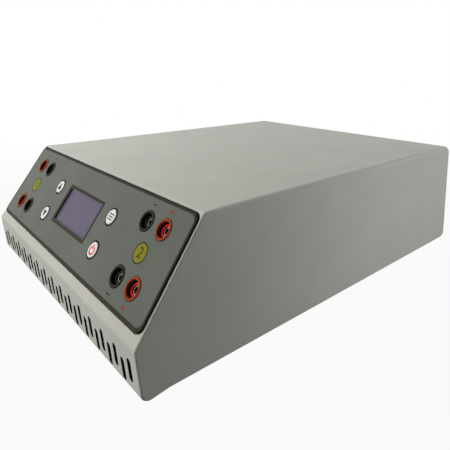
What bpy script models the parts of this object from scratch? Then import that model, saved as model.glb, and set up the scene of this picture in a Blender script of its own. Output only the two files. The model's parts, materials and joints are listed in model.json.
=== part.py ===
import math

import bmesh
import bpy
from mathutils import Matrix, Vector

for item in list(bpy.data.objects):
    bpy.data.objects.remove(item, do_unlink=True)

# Clearances, in metres like every size below
GAP = 0.0003  # between two pieces that touch
CUT_OVER = 0.002  # how far a cutter runs past the wall it cuts

# Housing: a side profile with a leaning lower front, a knee, a sloping panel and a flat top
BODY_WIDTH = 0.262
BODY_DEPTH = 0.345
BODY_HEIGHT = 0.094
KNEE_HEIGHT = 0.0313
KNEE_REACH = 0.0037
PANEL_RUN = 0.0445
WALL = 0.0025
PANEL_WALL = 0.0026
FLOOR_WALL = 0.0040
TOE_RADIUS = 0.006
KNEE_RADIUS = 0.0035
CORNER_RADIUS = 0.007
BROW_RADIUS = 0.003
EDGE_RADIUS = 0.0035
PANEL_EDGE_RADIUS = 0.0012
EDGE_BLEND = 0.012
ARC_STEPS = 4
EDGE_STEPS = 3
ROUND_SEGMENTS = 16
SMALL_SEGMENTS = 12
BOSS_SEGMENTS = 10

# Overlay plate standing a little out of its recess; heights run up the slope from the knee
OVERLAY_RIM = 0.0016
OVERLAY_START = 0.0070
OVERLAY_HEIGHT = 0.0687
OVERLAY_THICK = 0.0013
OVERLAY_PROUD = 0.0006
OVERLAY_CORNER = 0.0055
OVERLAY_GROOVE = 0.0005

# Display: a clear plate in the panel wall, lapped by the overlay, and the module behind it
WINDOW_UP = 0.0409
WINDOW_WIDTH = 0.0576
WINDOW_HEIGHT = 0.0266
WINDOW_CORNER = 0.0012
WINDOW_LAP = 0.0022
WINDOW_THICK = 0.0015
LCD_BORDER = 0.0080
LCD_DEEP = 0.0054
GLASS_THICK = 0.0014
GLASS_SUNK = 0.0002

# Keys
KEY_AWAY = 0.0188
KEY_ROWS = (0.0266, 0.0503)
KEY_RADIUS = 0.0052
KEY_PROUD = 0.0006
KEY_ROUND = 0.0005
KEY_ROUND_STEPS = 2
KEY_LIP = 0.0010
KEY_LIP_THICK = 0.0010
KEY_STEM_RADIUS = 0.0016
KEY_STEM = 0.0023
KEY_TRAVEL = 0.0006
KEY_SEGMENTS = 18

# Switches and their board
SWITCH_WIDE = 0.0062
BOARD_THICK = 0.0016
BOARD_CLEAR = 0.00585
BOARD_HEIGHT = 0.056
BOARD_CORNER = 0.003
BOSS_RADIUS = 0.003
BOSS_IN = 0.0065

# Sockets
SOCKET_IN = 0.0253
SOCKET_PITCH = 0.01905
SOCKET_ROWS = (0.0233, 0.0589)
FLANGE_RADIUS = 0.00675
FLANGE_PROUD = 0.0005
FLANGE_CHAMFER = 0.0002
BARREL_RADIUS = 0.0059
SHROUD_BORE = 0.0051
SHROUD_DEEP = 0.0140
SOCKET_LONG = 0.0180
TUBE_RADIUS = 0.0041
TUBE_RECESS = 0.0032
CONTACT_RADIUS = 0.00245
CONTACT_BORE = 0.00205
CONTACT_SUNK = 0.0008
CONTACT_DEEP = 0.0200
CONTACT_LONG = 0.0250

# Vent slots in the lower front, measured down from the knee; the wall is thinner round them
SLOT_PAIRS = 15
SLOT_IN = 0.0092
SLOT_WIDTH = 0.0042
SLOT_LENGTH = 0.0142
SLOT_HIGH = 0.0155
SLOT_STAGGER = 0.0041
SLOT_ARC = 4
SLOT_WALL = 0.0010
SLOT_MARGIN = 0.0005

# Bottom cover and feet
BASE_THICK = 0.0015
BASE_IN = 0.010
BASE_LAP = 0.004
BASE_CORNER = 0.006
FOOT_HEIGHT = 0.004
FOOT_RADIUS = 0.009
FOOT_IN = 0.024
FOOT_CHAMFER = 0.001

# Rear frame and panel
REAR_RECESS = 0.0050
REAR_THICK = 0.0015
REAR_BORDER = 0.008
REAR_LIP = 0.003
REAR_LIP_THICK = 0.0027
REAR_CORNER = 0.004
PUNCH_CORNER = 0.0005

# Mains inlet with its fuse drawer
INLET_AWAY = 0.034
INLET_WIDTH = 0.031
INLET_HEIGHT = 0.038
INLET_CORNER = 0.0025
INLET_FLANGE = 0.0022
INLET_LEDGE = 0.0018
INLET_DEEP = 0.024
MOUTH_WIDTH = 0.0246
MOUTH_HEIGHT = 0.0170
MOUTH_CHAMFER = 0.0050
MOUTH_DEEP = 0.0155
MOUTH_UP = 0.0068
PIN_PITCH = 0.0070
PIN_WIDE = 0.0020
PIN_TALL = 0.0040
PIN_SHIFT = 0.0020
PIN_SHORT = 0.0025
DRAWER_WIDTH = 0.0220
DRAWER_HEIGHT = 0.0085
DRAWER_DEEP = 0.0180
DRAWER_DOWN = 0.0115
DRAWER_LIP = 0.0012
DRAWER_FACE = 0.0016

# Power switch
ROCKER_IN = 0.027
BEZEL_WIDTH = 0.0150
BEZEL_HEIGHT = 0.0210
BEZEL_FLANGE = 0.0020
BEZEL_LEDGE = 0.0012
BEZEL_RIM = 0.0020
BEZEL_DEEP = 0.0160
ROCKER_POCKET = 0.0090
ROCKER_PROUD = 0.0008
ROCKER_DIP = 0.0006
ROCKER_BODY = 0.0035
ROCKER_KEEL = 0.0020
ROCKER_TAPER = 0.0008
ROCKER_END_GAP = 0.0009
ROCKER_TILT_DEG = 8.0

# Fan and guard
FAN_IN = 0.076
FAN_SIZE = 0.060
FAN_DEEP = 0.015
FAN_CORNER = 0.004
FAN_BORE = 0.0285
FAN_TIP_GAP = 0.0019
HUB_RADIUS = 0.0130
HUB_BACK = 0.0030
STRUT_WIDE = 0.0040
BLADE_COUNT = 7
BLADE_ROOT = 0.0090
BLADE_FILL = 0.58
BLADE_THICK = 0.0012
BLADE_PITCH_DEG = 38.0
FAN_HOLE_PITCH = 0.050
GUARD_WIRE = 0.0018
GUARD_WIRE_SIDES = 6
GUARD_BAR = 0.0016
GUARD_CROSS = 0.0014
GUARD_EYE_THICK = 0.0012
GUARD_RINGS = 3
GUARD_EYE = 0.0040
FAN_SEGMENTS = 24

# Boards and parts inside
POST_HEIGHT = 0.008
POST_RADIUS = 0.0035
POST_IN = 0.008
MAIN_IN = 0.031
MAIN_DEPTH = 0.180
MAIN_BACK = 0.060
CORE_IN = 0.056
CORE_WIDTH = 0.054
CORE_HEIGHT = 0.044
CORE_STACK = 0.030
CORE_LEG = 0.016
CORE_YOKE = 0.009
WINDING_CORNER = 0.004
SINK_IN = 0.044
SINK_LENGTH = 0.090
SINK_HEIGHT = 0.042
SINK_BASE = 0.004
SINK_FINS = 5
SINK_FIN = 0.0018
SINK_REACH = 0.020
CAP_SIDE = 0.016
CAP_PITCH = 0.0325
CAP_RADIUS = 0.0125
CAP_HEIGHT = 0.035
CAP_ROUND = 0.0015


# Colours and finishes
def paint(name, colour, rough, metal=0.0):
    made = bpy.data.materials.new(name)
    made.use_nodes = True
    shader = made.node_tree.nodes["Principled BSDF"]
    shader.inputs["Base Color"].default_value = (*colour, 1.0)
    shader.inputs["Roughness"].default_value = rough
    shader.inputs["Metallic"].default_value = metal
    made.diffuse_color = (*colour, 1.0)
    return made


HOUSING_GREY = (0.45, 0.45, 0.41)
OVERLAY_GREY = (0.11, 0.12, 0.10)
COVER_GREY = (0.05, 0.05, 0.05)
REAR_GREY = (0.38, 0.38, 0.35)
WHITE = (0.68, 0.68, 0.65)
RED = (0.36, 0.07, 0.03)
SLEEVE_RED = (0.55, 0.01, 0.01)
BLACK = (0.02, 0.02, 0.02)
STEEL = (0.55, 0.55, 0.55)
BOARD_GREEN = (0.02, 0.14, 0.06)
LILAC = (0.18, 0.16, 0.22)
TAPE_YELLOW = (0.55, 0.40, 0.06)
PLATED = (0.70, 0.66, 0.58)


# Mesh helpers
def solid(mesh_work, name, colour, rough=0.5, metal=0.0, origin=None):
    bmesh.ops.remove_doubles(mesh_work, verts=mesh_work.verts, dist=1e-7)
    bmesh.ops.recalc_face_normals(mesh_work, faces=mesh_work.faces)
    place = Vector((0.0, 0.0, 0.0)) if origin is None else Vector(origin)
    bmesh.ops.translate(mesh_work, verts=mesh_work.verts, vec=-place)
    mesh = bpy.data.meshes.new(name)
    mesh_work.to_mesh(mesh)
    mesh_work.free()
    made = bpy.data.objects.new(name, mesh)
    made.location = place
    bpy.context.scene.collection.objects.link(made)
    mesh.materials.append(paint(name + "_finish", colour, rough, metal))
    return made


def boolean(target, tool, operation="DIFFERENCE"):
    change = target.modifiers.new(operation.lower() + "_" + tool.name, "BOOLEAN")
    change.operation = operation
    change.solver = "EXACT"
    change.object = tool
    tool.hide_render = True
    tool.display_type = "WIRE"


def tool_from(mesh_work, name):
    return solid(mesh_work, name, BLACK)


def add_prism(mesh_work, outline, low, high, matrix):
    count = len(outline)
    near = [mesh_work.verts.new(matrix @ Vector((a, b, low))) for a, b in outline]
    far = [mesh_work.verts.new(matrix @ Vector((a, b, high))) for a, b in outline]
    mesh_work.faces.new(near[::-1])
    mesh_work.faces.new(far)
    for i in range(count):
        j = (i + 1) % count
        mesh_work.faces.new((near[i], near[j], far[j], far[i]))


def add_turned(mesh_work, profile, segments, matrix, closed_loop):
    rings = []
    for radius, height in profile:
        if radius < 1e-9:
            rings.append([mesh_work.verts.new(matrix @ Vector((0.0, 0.0, height)))])
            continue
        ring = []
        for k in range(segments):
            turn = 2.0 * math.pi * k / segments
            spot = Vector((radius * math.cos(turn), radius * math.sin(turn), height))
            ring.append(mesh_work.verts.new(matrix @ spot))
        rings.append(ring)
    pairs = list(zip(rings, rings[1:]))
    if closed_loop:
        pairs.append((rings[-1], rings[0]))
    for first, second in pairs:
        for k in range(segments):
            n = (k + 1) % segments
            corners = [first[k % len(first)], first[n % len(first)]]
            corners += [second[n % len(second)], second[k % len(second)]]
            kept = []
            for vert in corners:
                if vert not in kept:
                    kept.append(vert)
            mesh_work.faces.new(kept)


def add_box(mesh_work, size, centre, matrix=None):
    a, b, c = (0.5 * s for s in size)
    outline = [(-a, -b), (a, -b), (a, b), (-a, b)]
    place = Matrix.Translation(centre)
    add_prism(mesh_work, outline, -c, c, place if matrix is None else matrix @ place)


def rounded_rect(width, height, radius, steps=ARC_STEPS):
    points = []
    centres = ((1, 1, 0.0), (-1, 1, 0.5), (-1, -1, 1.0), (1, -1, 1.5))
    for sx, sy, start in centres:
        for k in range(steps + 1):
            turn = math.pi * (start + 0.5 * k / steps)
            x = sx * (0.5 * width - radius) + radius * math.cos(turn)
            y = sy * (0.5 * height - radius) + radius * math.sin(turn)
            points.append((x, y))
    return points


def circle(radius, segments, x=0.0, y=0.0):
    turns = [2.0 * math.pi * k / segments for k in range(segments)]
    return [(x + radius * math.cos(t), y + radius * math.sin(t)) for t in turns]


def moved(outline, x, y):
    return [(a + x, b + y) for a, b in outline]


# Side profile of the housing, as (y, z) corners running up the front and back along the top
def arc_at(corners, index, radius):
    corner = corners[index]
    before = (corners[index - 1] - corner).normalized()
    after = (corners[(index + 1) % len(corners)] - corner).normalized()
    half = 0.5 * before.angle(after)
    centre = corner + (before + after).normalized() * (radius / math.sin(half))
    first = corner + before * (radius / math.tan(half)) - centre
    last = corner + after * (radius / math.tan(half)) - centre
    return centre, first.normalized(), last.normalized()


def profile_corners(shift):
    low = FOOT_HEIGHT
    high = FOOT_HEIGHT + BODY_HEIGHT
    return [
        Vector((shift, low)),
        Vector((shift - KNEE_REACH, low + KNEE_HEIGHT)),
        Vector((shift - KNEE_REACH + PANEL_RUN, high)),
        Vector((shift + BODY_DEPTH, high)),
        Vector((shift + BODY_DEPTH, low)),
    ]


knee_centre = arc_at(profile_corners(0.0), 1, KNEE_RADIUS)[0]
front_reach = knee_centre.x - KNEE_RADIUS
CORNERS = profile_corners(-0.5 * (front_reach + BODY_DEPTH))
BOTTOM_Z = FOOT_HEIGHT
REAR_Y = CORNERS[3].x
MIDDLE_Z = FOOT_HEIGHT + 0.5 * BODY_HEIGHT


# Each entry holds a point on the profile, its outward direction and the edge radius there
def rim_points():
    radii = (TOE_RADIUS, KNEE_RADIUS, BROW_RADIUS, CORNER_RADIUS, CORNER_RADIUS)
    edges = [PANEL_EDGE_RADIUS] * 3 + [EDGE_RADIUS] * 2
    blend = Vector((EDGE_BLEND, 0.0))
    entries = []
    for index, radius in enumerate(radii):
        centre, first, last = arc_at(CORNERS, index, radius)
        sweep = first.angle_signed(last)
        for k in range(ARC_STEPS + 1):
            out = first.copy()
            out.rotate(Matrix.Rotation(-sweep * k / ARC_STEPS, 2))
            entries.append((centre + out * radius, out, edges[index]))
        if index == 2:
            entries.append((entries[-1][0] + blend, Vector((0.0, 1.0)), EDGE_RADIUS))
    entries.append((entries[0][0] + blend, Vector((0.0, -1.0)), EDGE_RADIUS))
    return entries


def add_shell(mesh_work):
    entries = rim_points()
    rings = []
    for side in (-1, 1):
        steps = range(EDGE_STEPS + 1)
        for k in steps if side > 0 else reversed(steps):
            turn = 0.5 * math.pi * k / EDGE_STEPS
            ring = []
            for spot, out, radius in entries:
                x = side * (0.5 * BODY_WIDTH - radius * (1.0 - math.sin(turn)))
                flat = spot - out * (radius * (1.0 - math.cos(turn)))
                ring.append(mesh_work.verts.new((x, flat.x, flat.y)))
            rings.append(ring)
    count = len(entries)
    for first, second in zip(rings, rings[1:]):
        for i in range(count):
            j = (i + 1) % count
            mesh_work.faces.new((first[i], first[j], second[j], second[i]))
    mesh_work.faces.new(rings[0][::-1])
    mesh_work.faces.new(rings[-1])


def inset_corners(amounts):
    lines = []
    for i, amount in enumerate(amounts):
        along = (CORNERS[(i + 1) % len(CORNERS)] - CORNERS[i]).normalized()
        inward = Vector((along.y, -along.x))
        lines.append((CORNERS[i] + inward * amount, along))
    points = []
    for i, (spot, along) in enumerate(lines):
        last_spot, last_along = lines[i - 1]
        cross = last_along.x * along.y - last_along.y * along.x
        offset = spot - last_spot
        reach = (offset.x * along.y - offset.y * along.x) / cross
        points.append(last_spot + last_along * reach)
    return points


# Frames of reference: the sloping panel, the leaning lower front and the rear panel
RIGHT = Vector((1.0, 0.0, 0.0))


def frame_of(origin, up):
    out = RIGHT.cross(up)
    columns = Matrix((RIGHT, up, out)).transposed().to_4x4()
    return Matrix.Translation(origin) @ columns


def lifted(flat):
    return Vector((0.0, flat.x, flat.y))


PANEL = frame_of(lifted(CORNERS[1]), lifted(CORNERS[2] - CORNERS[1]).normalized())
FRONT = frame_of(lifted(CORNERS[1]), lifted(CORNERS[1] - CORNERS[0]).normalized())
REAR_FACE_Y = REAR_Y - REAR_RECESS
REAR_TURN = Matrix(((-1, 0, 0, 0), (0, 0, 1, 0), (0, 1, 0, 0), (0, 0, 0, 1)))
REAR = Matrix.Translation((0.0, REAR_FACE_Y, MIDDLE_Z)) @ REAR_TURN


def at(frame, x, y, z=0.0):
    return frame @ Matrix.Translation((x, y, z))


OVERLAY_WIDTH = BODY_WIDTH - 2.0 * OVERLAY_RIM
OVERLAY_MIDDLE = OVERLAY_START + 0.5 * OVERLAY_HEIGHT
OVERLAY_LOW = OVERLAY_PROUD - OVERLAY_THICK
RECESS_DEEP = GAP - OVERLAY_LOW
KEY_SIDE = 0.5 * WINDOW_WIDTH + KEY_AWAY
SOCKET_SIDE = 0.5 * BODY_WIDTH - SOCKET_IN
SLOT_PITCH = (BODY_WIDTH - 2.0 * SLOT_IN) / (2 * SLOT_PAIRS - 1)
KEY_SPOTS = [(side * KEY_SIDE, row) for side in (-1, 1) for row in KEY_ROWS]
SOCKET_SPOTS = []
for row in SOCKET_ROWS:
    for side in (-1, 1):
        SOCKET_SPOTS.append((side * SOCKET_SIDE, row, RED, SLEEVE_RED))
        SOCKET_SPOTS.append((side * (SOCKET_SIDE - SOCKET_PITCH), row, BLACK, BLACK))
KEY_HOLE = KEY_RADIUS + GAP
BARREL_HOLE = BARREL_RADIUS + GAP
FLANGE_HOLE = FLANGE_RADIUS + GAP
PLATE_WIDTH = WINDOW_WIDTH + 2.0 * WINDOW_LAP
PLATE_HEIGHT = WINDOW_HEIGHT + 2.0 * WINDOW_LAP
PLATE_FACE = -RECESS_DEEP
LCD_FACE = -PANEL_WALL - GAP
LCD_BACK = LCD_FACE - LCD_DEEP
BOARD_FACE = LCD_BACK - GAP
BOARD_UP = WINDOW_UP
BOARD_WIDTH = 2.0 * (SOCKET_SIDE - SOCKET_PITCH - BARREL_RADIUS - BOARD_CLEAR)
BOSS_X = 0.5 * BOARD_WIDTH - BOSS_IN
BOSS_Y = 0.5 * BOARD_HEIGHT - BOSS_IN


# Housing
REAR_FRAME = REAR_RECESS + REAR_THICK + GAP + REAR_LIP_THICK
work = bmesh.new()
add_shell(work)
housing = solid(work, "housing", HOUSING_GREY, 0.6)

hollow = inset_corners((WALL, PANEL_WALL, WALL, REAR_FRAME, FLOOR_WALL))
SIDEWAYS = Matrix(((0, 0, 1, 0), (1, 0, 0, 0), (0, 1, 0, 0), (0, 0, 0, 1)))
inner_half = 0.5 * BODY_WIDTH - WALL
work = bmesh.new()
add_prism(work, [(p.x, p.y) for p in hollow], -inner_half, inner_half, SIDEWAYS)
boolean(housing, tool_from(work, "cavity_tool"))

base_width = BODY_WIDTH - 2.0 * BASE_IN
base_depth = BODY_DEPTH - 2.0 * BASE_IN
base_y = 0.5 * (CORNERS[0].x + CORNERS[4].x)
hole_width = base_width - 2.0 * BASE_LAP
hole_depth = base_depth - 2.0 * BASE_LAP
rebate_top = BOTTOM_Z + BASE_THICK + GAP
work = bmesh.new()
outline = moved(rounded_rect(base_width, base_depth, BASE_CORNER), 0.0, base_y)
add_prism(work, outline, BOTTOM_Z - CUT_OVER, rebate_top, Matrix.Identity(4))
boolean(housing, tool_from(work, "base_rebate_tool"))
work = bmesh.new()
outline = moved(rounded_rect(hole_width, hole_depth, BASE_CORNER), 0.0, base_y)
hole_top = BOTTOM_Z + FLOOR_WALL + CUT_OVER
add_prism(work, outline, BOTTOM_Z - CUT_OVER, hole_top, Matrix.Identity(4))
boolean(housing, tool_from(work, "base_hole_tool"))

rear_width = BODY_WIDTH - 2.0 * REAR_BORDER
rear_height = BODY_HEIGHT - 2.0 * REAR_BORDER
work = bmesh.new()
outline = rounded_rect(rear_width, rear_height, REAR_CORNER)
add_prism(work, outline, -REAR_THICK - GAP, REAR_RECESS + CUT_OVER, REAR)
boolean(housing, tool_from(work, "rear_rebate_tool"))
work = bmesh.new()
outline = rounded_rect(rear_width - 2.0 * REAR_LIP, rear_height - 2.0 * REAR_LIP, REAR_CORNER)
add_prism(work, outline, -REAR_FRAME - CUT_OVER, CUT_OVER, REAR)
boolean(housing, tool_from(work, "rear_hole_tool"))

work = bmesh.new()
recess_more = 2.0 * OVERLAY_GROOVE
outline = rounded_rect(OVERLAY_WIDTH + recess_more, OVERLAY_HEIGHT + recess_more, OVERLAY_CORNER)
add_prism(work, outline, -RECESS_DEEP, CUT_OVER, at(PANEL, 0.0, OVERLAY_MIDDLE))
boolean(housing, tool_from(work, "recess_tool"))


def add_panel_holes(mesh_work, low, high, socket_hole, window_width, window_height):
    for x, up in KEY_SPOTS:
        add_prism(mesh_work, circle(KEY_HOLE, KEY_SEGMENTS), low, high, at(PANEL, x, up))
    for x, up, _, _ in SOCKET_SPOTS:
        add_prism(mesh_work, circle(socket_hole, ROUND_SEGMENTS), low, high, at(PANEL, x, up))
    outline = rounded_rect(window_width, window_height, WINDOW_CORNER)
    add_prism(mesh_work, outline, low, high, at(PANEL, 0.0, WINDOW_UP))


work = bmesh.new()
plate_hole = (PLATE_WIDTH + 2.0 * GAP, PLATE_HEIGHT + 2.0 * GAP)
add_panel_holes(work, -PANEL_WALL - CUT_OVER, CUT_OVER, BARREL_HOLE, *plate_hole)
boolean(housing, tool_from(work, "panel_holes_tool"))


def slot_outline():
    straight = 0.5 * (SLOT_LENGTH - SLOT_WIDTH)
    points = []
    for sign in (1, -1):
        for k in range(SLOT_ARC + 1):
            turn = math.pi * k / SLOT_ARC
            x = sign * 0.5 * SLOT_WIDTH * math.cos(turn)
            y = sign * (straight + 0.5 * SLOT_WIDTH * math.sin(turn))
            points.append((x, y))
    return points


work = bmesh.new()
zone_half = (SLOT_PAIRS - 0.5) * SLOT_PITCH + 0.5 * SLOT_WIDTH + SLOT_MARGIN
zone_tall = SLOT_LENGTH + SLOT_STAGGER + 2.0 * SLOT_MARGIN
zone = rounded_rect(2.0 * zone_half, zone_tall, SLOT_WIDTH)
zone_place = at(FRONT, 0.0, -SLOT_HIGH - 0.5 * SLOT_STAGGER)
add_prism(work, zone, -WALL - CUT_OVER, -SLOT_WALL, zone_place)
boolean(housing, tool_from(work, "slot_zone_tool"))

work = bmesh.new()
for k in range(2 * SLOT_PAIRS):
    x = (k - SLOT_PAIRS + 0.5) * SLOT_PITCH
    down = SLOT_HIGH + (SLOT_STAGGER if k % 2 == 0 else 0.0)
    add_prism(work, slot_outline(), -WALL - CUT_OVER, CUT_OVER, at(FRONT, x, -down))
boolean(housing, tool_from(work, "slots_tool"))

work = bmesh.new()
for sx in (-1, 1):
    for sy in (-1, 1):
        place = at(PANEL, sx * BOSS_X, BOARD_UP + sy * BOSS_Y)
        boss_top = -0.5 * (PANEL_WALL + RECESS_DEEP)
        add_prism(work, circle(BOSS_RADIUS, BOSS_SEGMENTS), BOARD_FACE + GAP, boss_top, place)
boolean(housing, tool_from(work, "bosses_tool"), "UNION")

# Overlay and display
work = bmesh.new()
outline = rounded_rect(OVERLAY_WIDTH, OVERLAY_HEIGHT, OVERLAY_CORNER)
add_prism(work, outline, OVERLAY_LOW, OVERLAY_PROUD, at(PANEL, 0.0, OVERLAY_MIDDLE))
overlay = solid(work, "panel_overlay", OVERLAY_GREY, 0.45)
work = bmesh.new()
add_panel_holes(work, -PANEL_WALL, CUT_OVER, FLANGE_HOLE, WINDOW_WIDTH, WINDOW_HEIGHT)
boolean(overlay, tool_from(work, "overlay_holes_tool"))

work = bmesh.new()
outline = rounded_rect(PLATE_WIDTH, PLATE_HEIGHT, WINDOW_CORNER)
add_prism(work, outline, PLATE_FACE - WINDOW_THICK, PLATE_FACE, at(PANEL, 0.0, WINDOW_UP))
solid(work, "display_window", LILAC, 0.1)

glass_width = PLATE_WIDTH - 2.0 * GAP
glass_height = PLATE_HEIGHT - 2.0 * GAP
work = bmesh.new()
frame_size = (glass_width + 2.0 * LCD_BORDER, glass_height + LCD_BORDER, LCD_DEEP)
middle = 0.5 * (LCD_FACE + LCD_BACK)
add_box(work, frame_size, (0.0, 0.0, middle), at(PANEL, 0.0, WINDOW_UP))
lcd_frame = solid(work, "lcd_frame", STEEL, 0.5, 0.6)
work = bmesh.new()
outline = rounded_rect(glass_width + 2.0 * GAP, glass_height + 2.0 * GAP, WINDOW_CORNER)
glass_low = LCD_FACE - GLASS_SUNK - GLASS_THICK
add_prism(work, outline, glass_low - GAP, LCD_FACE + CUT_OVER, at(PANEL, 0.0, WINDOW_UP))
boolean(lcd_frame, tool_from(work, "glass_pocket_tool"))
work = bmesh.new()
outline = rounded_rect(glass_width, glass_height, WINDOW_CORNER)
add_prism(work, outline, glass_low, glass_low + GLASS_THICK, at(PANEL, 0.0, WINDOW_UP))
solid(work, "lcd_glass", LILAC, 0.2)

# Control board, keys and switches
work = bmesh.new()
outline = rounded_rect(BOARD_WIDTH, BOARD_HEIGHT, BOARD_CORNER)
add_prism(work, outline, BOARD_FACE - BOARD_THICK, BOARD_FACE, at(PANEL, 0.0, BOARD_UP))
solid(work, "control_board", BOARD_GREEN, 0.5)

lip_top = -PANEL_WALL - GAP
lip_low = lip_top - KEY_LIP_THICK
stem_end = lip_low - KEY_STEM
key_top = OVERLAY_PROUD + KEY_PROUD
key_crown = [(0.0, key_top)]
for k in range(KEY_ROUND_STEPS + 1):
    turn = 0.5 * math.pi * k / KEY_ROUND_STEPS
    out = KEY_RADIUS - KEY_ROUND + KEY_ROUND * math.sin(turn)
    key_crown.append((out, key_top - KEY_ROUND + KEY_ROUND * math.cos(turn)))
switch_top = lip_low - KEY_TRAVEL - GAP
KEY_NAMES = ("key_down", "key_up", "key_bottom_right", "key_top_right")
for number, (x, up) in enumerate(KEY_SPOTS):
    place = at(PANEL, x, up)
    profile = key_crown + [
        (KEY_RADIUS, lip_top),
        (KEY_RADIUS + KEY_LIP, lip_top),
        (KEY_RADIUS + KEY_LIP, lip_low),
        (KEY_STEM_RADIUS, lip_low),
        (KEY_STEM_RADIUS, stem_end),
        (0.0, stem_end),
    ]
    work = bmesh.new()
    add_turned(work, profile, KEY_SEGMENTS, place, False)
    solid(work, KEY_NAMES[number], WHITE, 0.4, 0.0, place.translation)

    switch_low = BOARD_FACE + GAP
    work = bmesh.new()
    size = (SWITCH_WIDE, SWITCH_WIDE, switch_top - switch_low)
    add_box(work, size, (0.0, 0.0, 0.5 * (switch_top + switch_low)), place)
    switch = solid(work, "switch_" + str(number + 1), BLACK, 0.5)
    work = bmesh.new()
    well = circle(KEY_STEM_RADIUS + GAP, SMALL_SEGMENTS)
    well_floor = stem_end - KEY_TRAVEL - 0.5 * GAP
    add_prism(work, well, well_floor, switch_top + 0.5 * GAP, place)
    boolean(switch, tool_from(work, "well_tool_" + str(number + 1)))

# Sockets: a flanged barrel let into the overlay, a sleeve with a collar at its foot, and the contact
flange_seat = GAP - RECESS_DEEP
flange_top = OVERLAY_PROUD + FLANGE_PROUD
barrel_end = flange_top - SOCKET_LONG
collar_top = flange_top - SHROUD_DEEP
tube_top = flange_top - TUBE_RECESS
tube_bore = CONTACT_RADIUS + GAP
contact_top = tube_top - CONTACT_SUNK
barrel_profile = [
    (SHROUD_BORE, barrel_end),
    (BARREL_RADIUS, barrel_end),
    (BARREL_RADIUS, flange_seat),
    (FLANGE_RADIUS, flange_seat),
    (FLANGE_RADIUS, flange_top - FLANGE_CHAMFER),
    (FLANGE_RADIUS - FLANGE_CHAMFER, flange_top),
    (SHROUD_BORE + FLANGE_CHAMFER, flange_top),
    (SHROUD_BORE, flange_top - FLANGE_CHAMFER),
]
sleeve_profile = [
    (tube_bore, barrel_end),
    (SHROUD_BORE - GAP, barrel_end),
    (SHROUD_BORE - GAP, collar_top),
    (TUBE_RADIUS, collar_top),
    (TUBE_RADIUS, tube_top),
    (tube_bore, tube_top),
]
contact_profile = [
    (0.0, contact_top - CONTACT_LONG),
    (CONTACT_RADIUS, contact_top - CONTACT_LONG),
    (CONTACT_RADIUS, contact_top),
    (CONTACT_BORE, contact_top),
    (CONTACT_BORE, contact_top - CONTACT_DEEP),
    (0.0, contact_top - CONTACT_DEEP),
]
for number, (x, up, colour, sleeve_colour) in enumerate(SOCKET_SPOTS):
    place = at(PANEL, x, up)
    work = bmesh.new()
    add_turned(work, barrel_profile, ROUND_SEGMENTS, place, True)
    solid(work, "socket_" + str(number + 1), colour, 0.4)
    work = bmesh.new()
    add_turned(work, sleeve_profile, ROUND_SEGMENTS, place, True)
    solid(work, "socket_sleeve_" + str(number + 1), sleeve_colour, 0.4)
    work = bmesh.new()
    add_turned(work, contact_profile, SMALL_SEGMENTS, place, False)
    solid(work, "contact_" + str(number + 1), PLATED, 0.3, 1.0)

# Bottom cover with its board posts, and the feet
base_top = BOTTOM_Z + BASE_THICK
main_width = BODY_WIDTH - 2.0 * MAIN_IN
main_y = REAR_FACE_Y - MAIN_BACK - 0.5 * MAIN_DEPTH
post_x = 0.5 * main_width - POST_IN
post_y = 0.5 * MAIN_DEPTH - POST_IN
work = bmesh.new()
outline = rounded_rect(base_width - 2.0 * GAP, base_depth - 2.0 * GAP, BASE_CORNER)
add_prism(work, outline, BOTTOM_Z, base_top, Matrix.Translation((0.0, base_y, 0.0)))
base = solid(work, "base_plate", COVER_GREY, 0.55)
work = bmesh.new()
for sx in (-1, 1):
    for sy in (-1, 1):
        place = Matrix.Translation((sx * post_x, main_y + sy * post_y, 0.0))
        post = circle(POST_RADIUS, BOSS_SEGMENTS)
        add_prism(work, post, BOTTOM_Z + 0.5 * BASE_THICK, base_top + POST_HEIGHT, place)
boolean(base, tool_from(work, "posts_tool"), "UNION")

foot_x = 0.5 * base_width - FOOT_IN
foot_y = 0.5 * base_depth - FOOT_IN
foot_top = FOOT_HEIGHT - GAP
number = 0
for sx in (-1, 1):
    for sy in (-1, 1):
        number += 1
        place = Matrix.Translation((sx * foot_x, base_y + sy * foot_y, 0.0))
        profile = [
            (0.0, foot_top),
            (FOOT_RADIUS, foot_top),
            (FOOT_RADIUS, FOOT_CHAMFER),
            (FOOT_RADIUS - FOOT_CHAMFER, 0.0),
            (0.0, 0.0),
        ]
        work = bmesh.new()
        add_turned(work, profile, ROUND_SEGMENTS, place, False)
        solid(work, "foot_" + str(number), BLACK, 0.9)

# Rear panel
rocker_x = 0.5 * BODY_WIDTH - ROCKER_IN
SWITCH = at(REAR, rocker_x, 0.0)
INLET = at(REAR, rocker_x - INLET_AWAY, 0.0)
FAN = at(REAR, FAN_IN - 0.5 * BODY_WIDTH, 0.0)
inlet_cut_width = INLET_WIDTH - 2.0 * INLET_LEDGE
inlet_cut_height = INLET_HEIGHT - 2.0 * INLET_LEDGE
bezel_cut_width = BEZEL_WIDTH - 2.0 * BEZEL_LEDGE
bezel_cut_height = BEZEL_HEIGHT - 2.0 * BEZEL_LEDGE
work = bmesh.new()
outline = rounded_rect(rear_width - 2.0 * GAP, rear_height - 2.0 * GAP, REAR_CORNER)
add_prism(work, outline, -REAR_THICK, 0.0, REAR)
rear = solid(work, "rear_panel", REAR_GREY, 0.5)
work = bmesh.new()
plate_cut = (-REAR_THICK - CUT_OVER, CUT_OVER)
add_prism(work, rounded_rect(inlet_cut_width, inlet_cut_height, PUNCH_CORNER), *plate_cut, INLET)
add_prism(work, rounded_rect(bezel_cut_width, bezel_cut_height, PUNCH_CORNER), *plate_cut, SWITCH)
add_prism(work, circle(FAN_BORE - FAN_TIP_GAP, FAN_SEGMENTS), *plate_cut, FAN)
boolean(rear, tool_from(work, "rear_cut_tool"))

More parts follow.
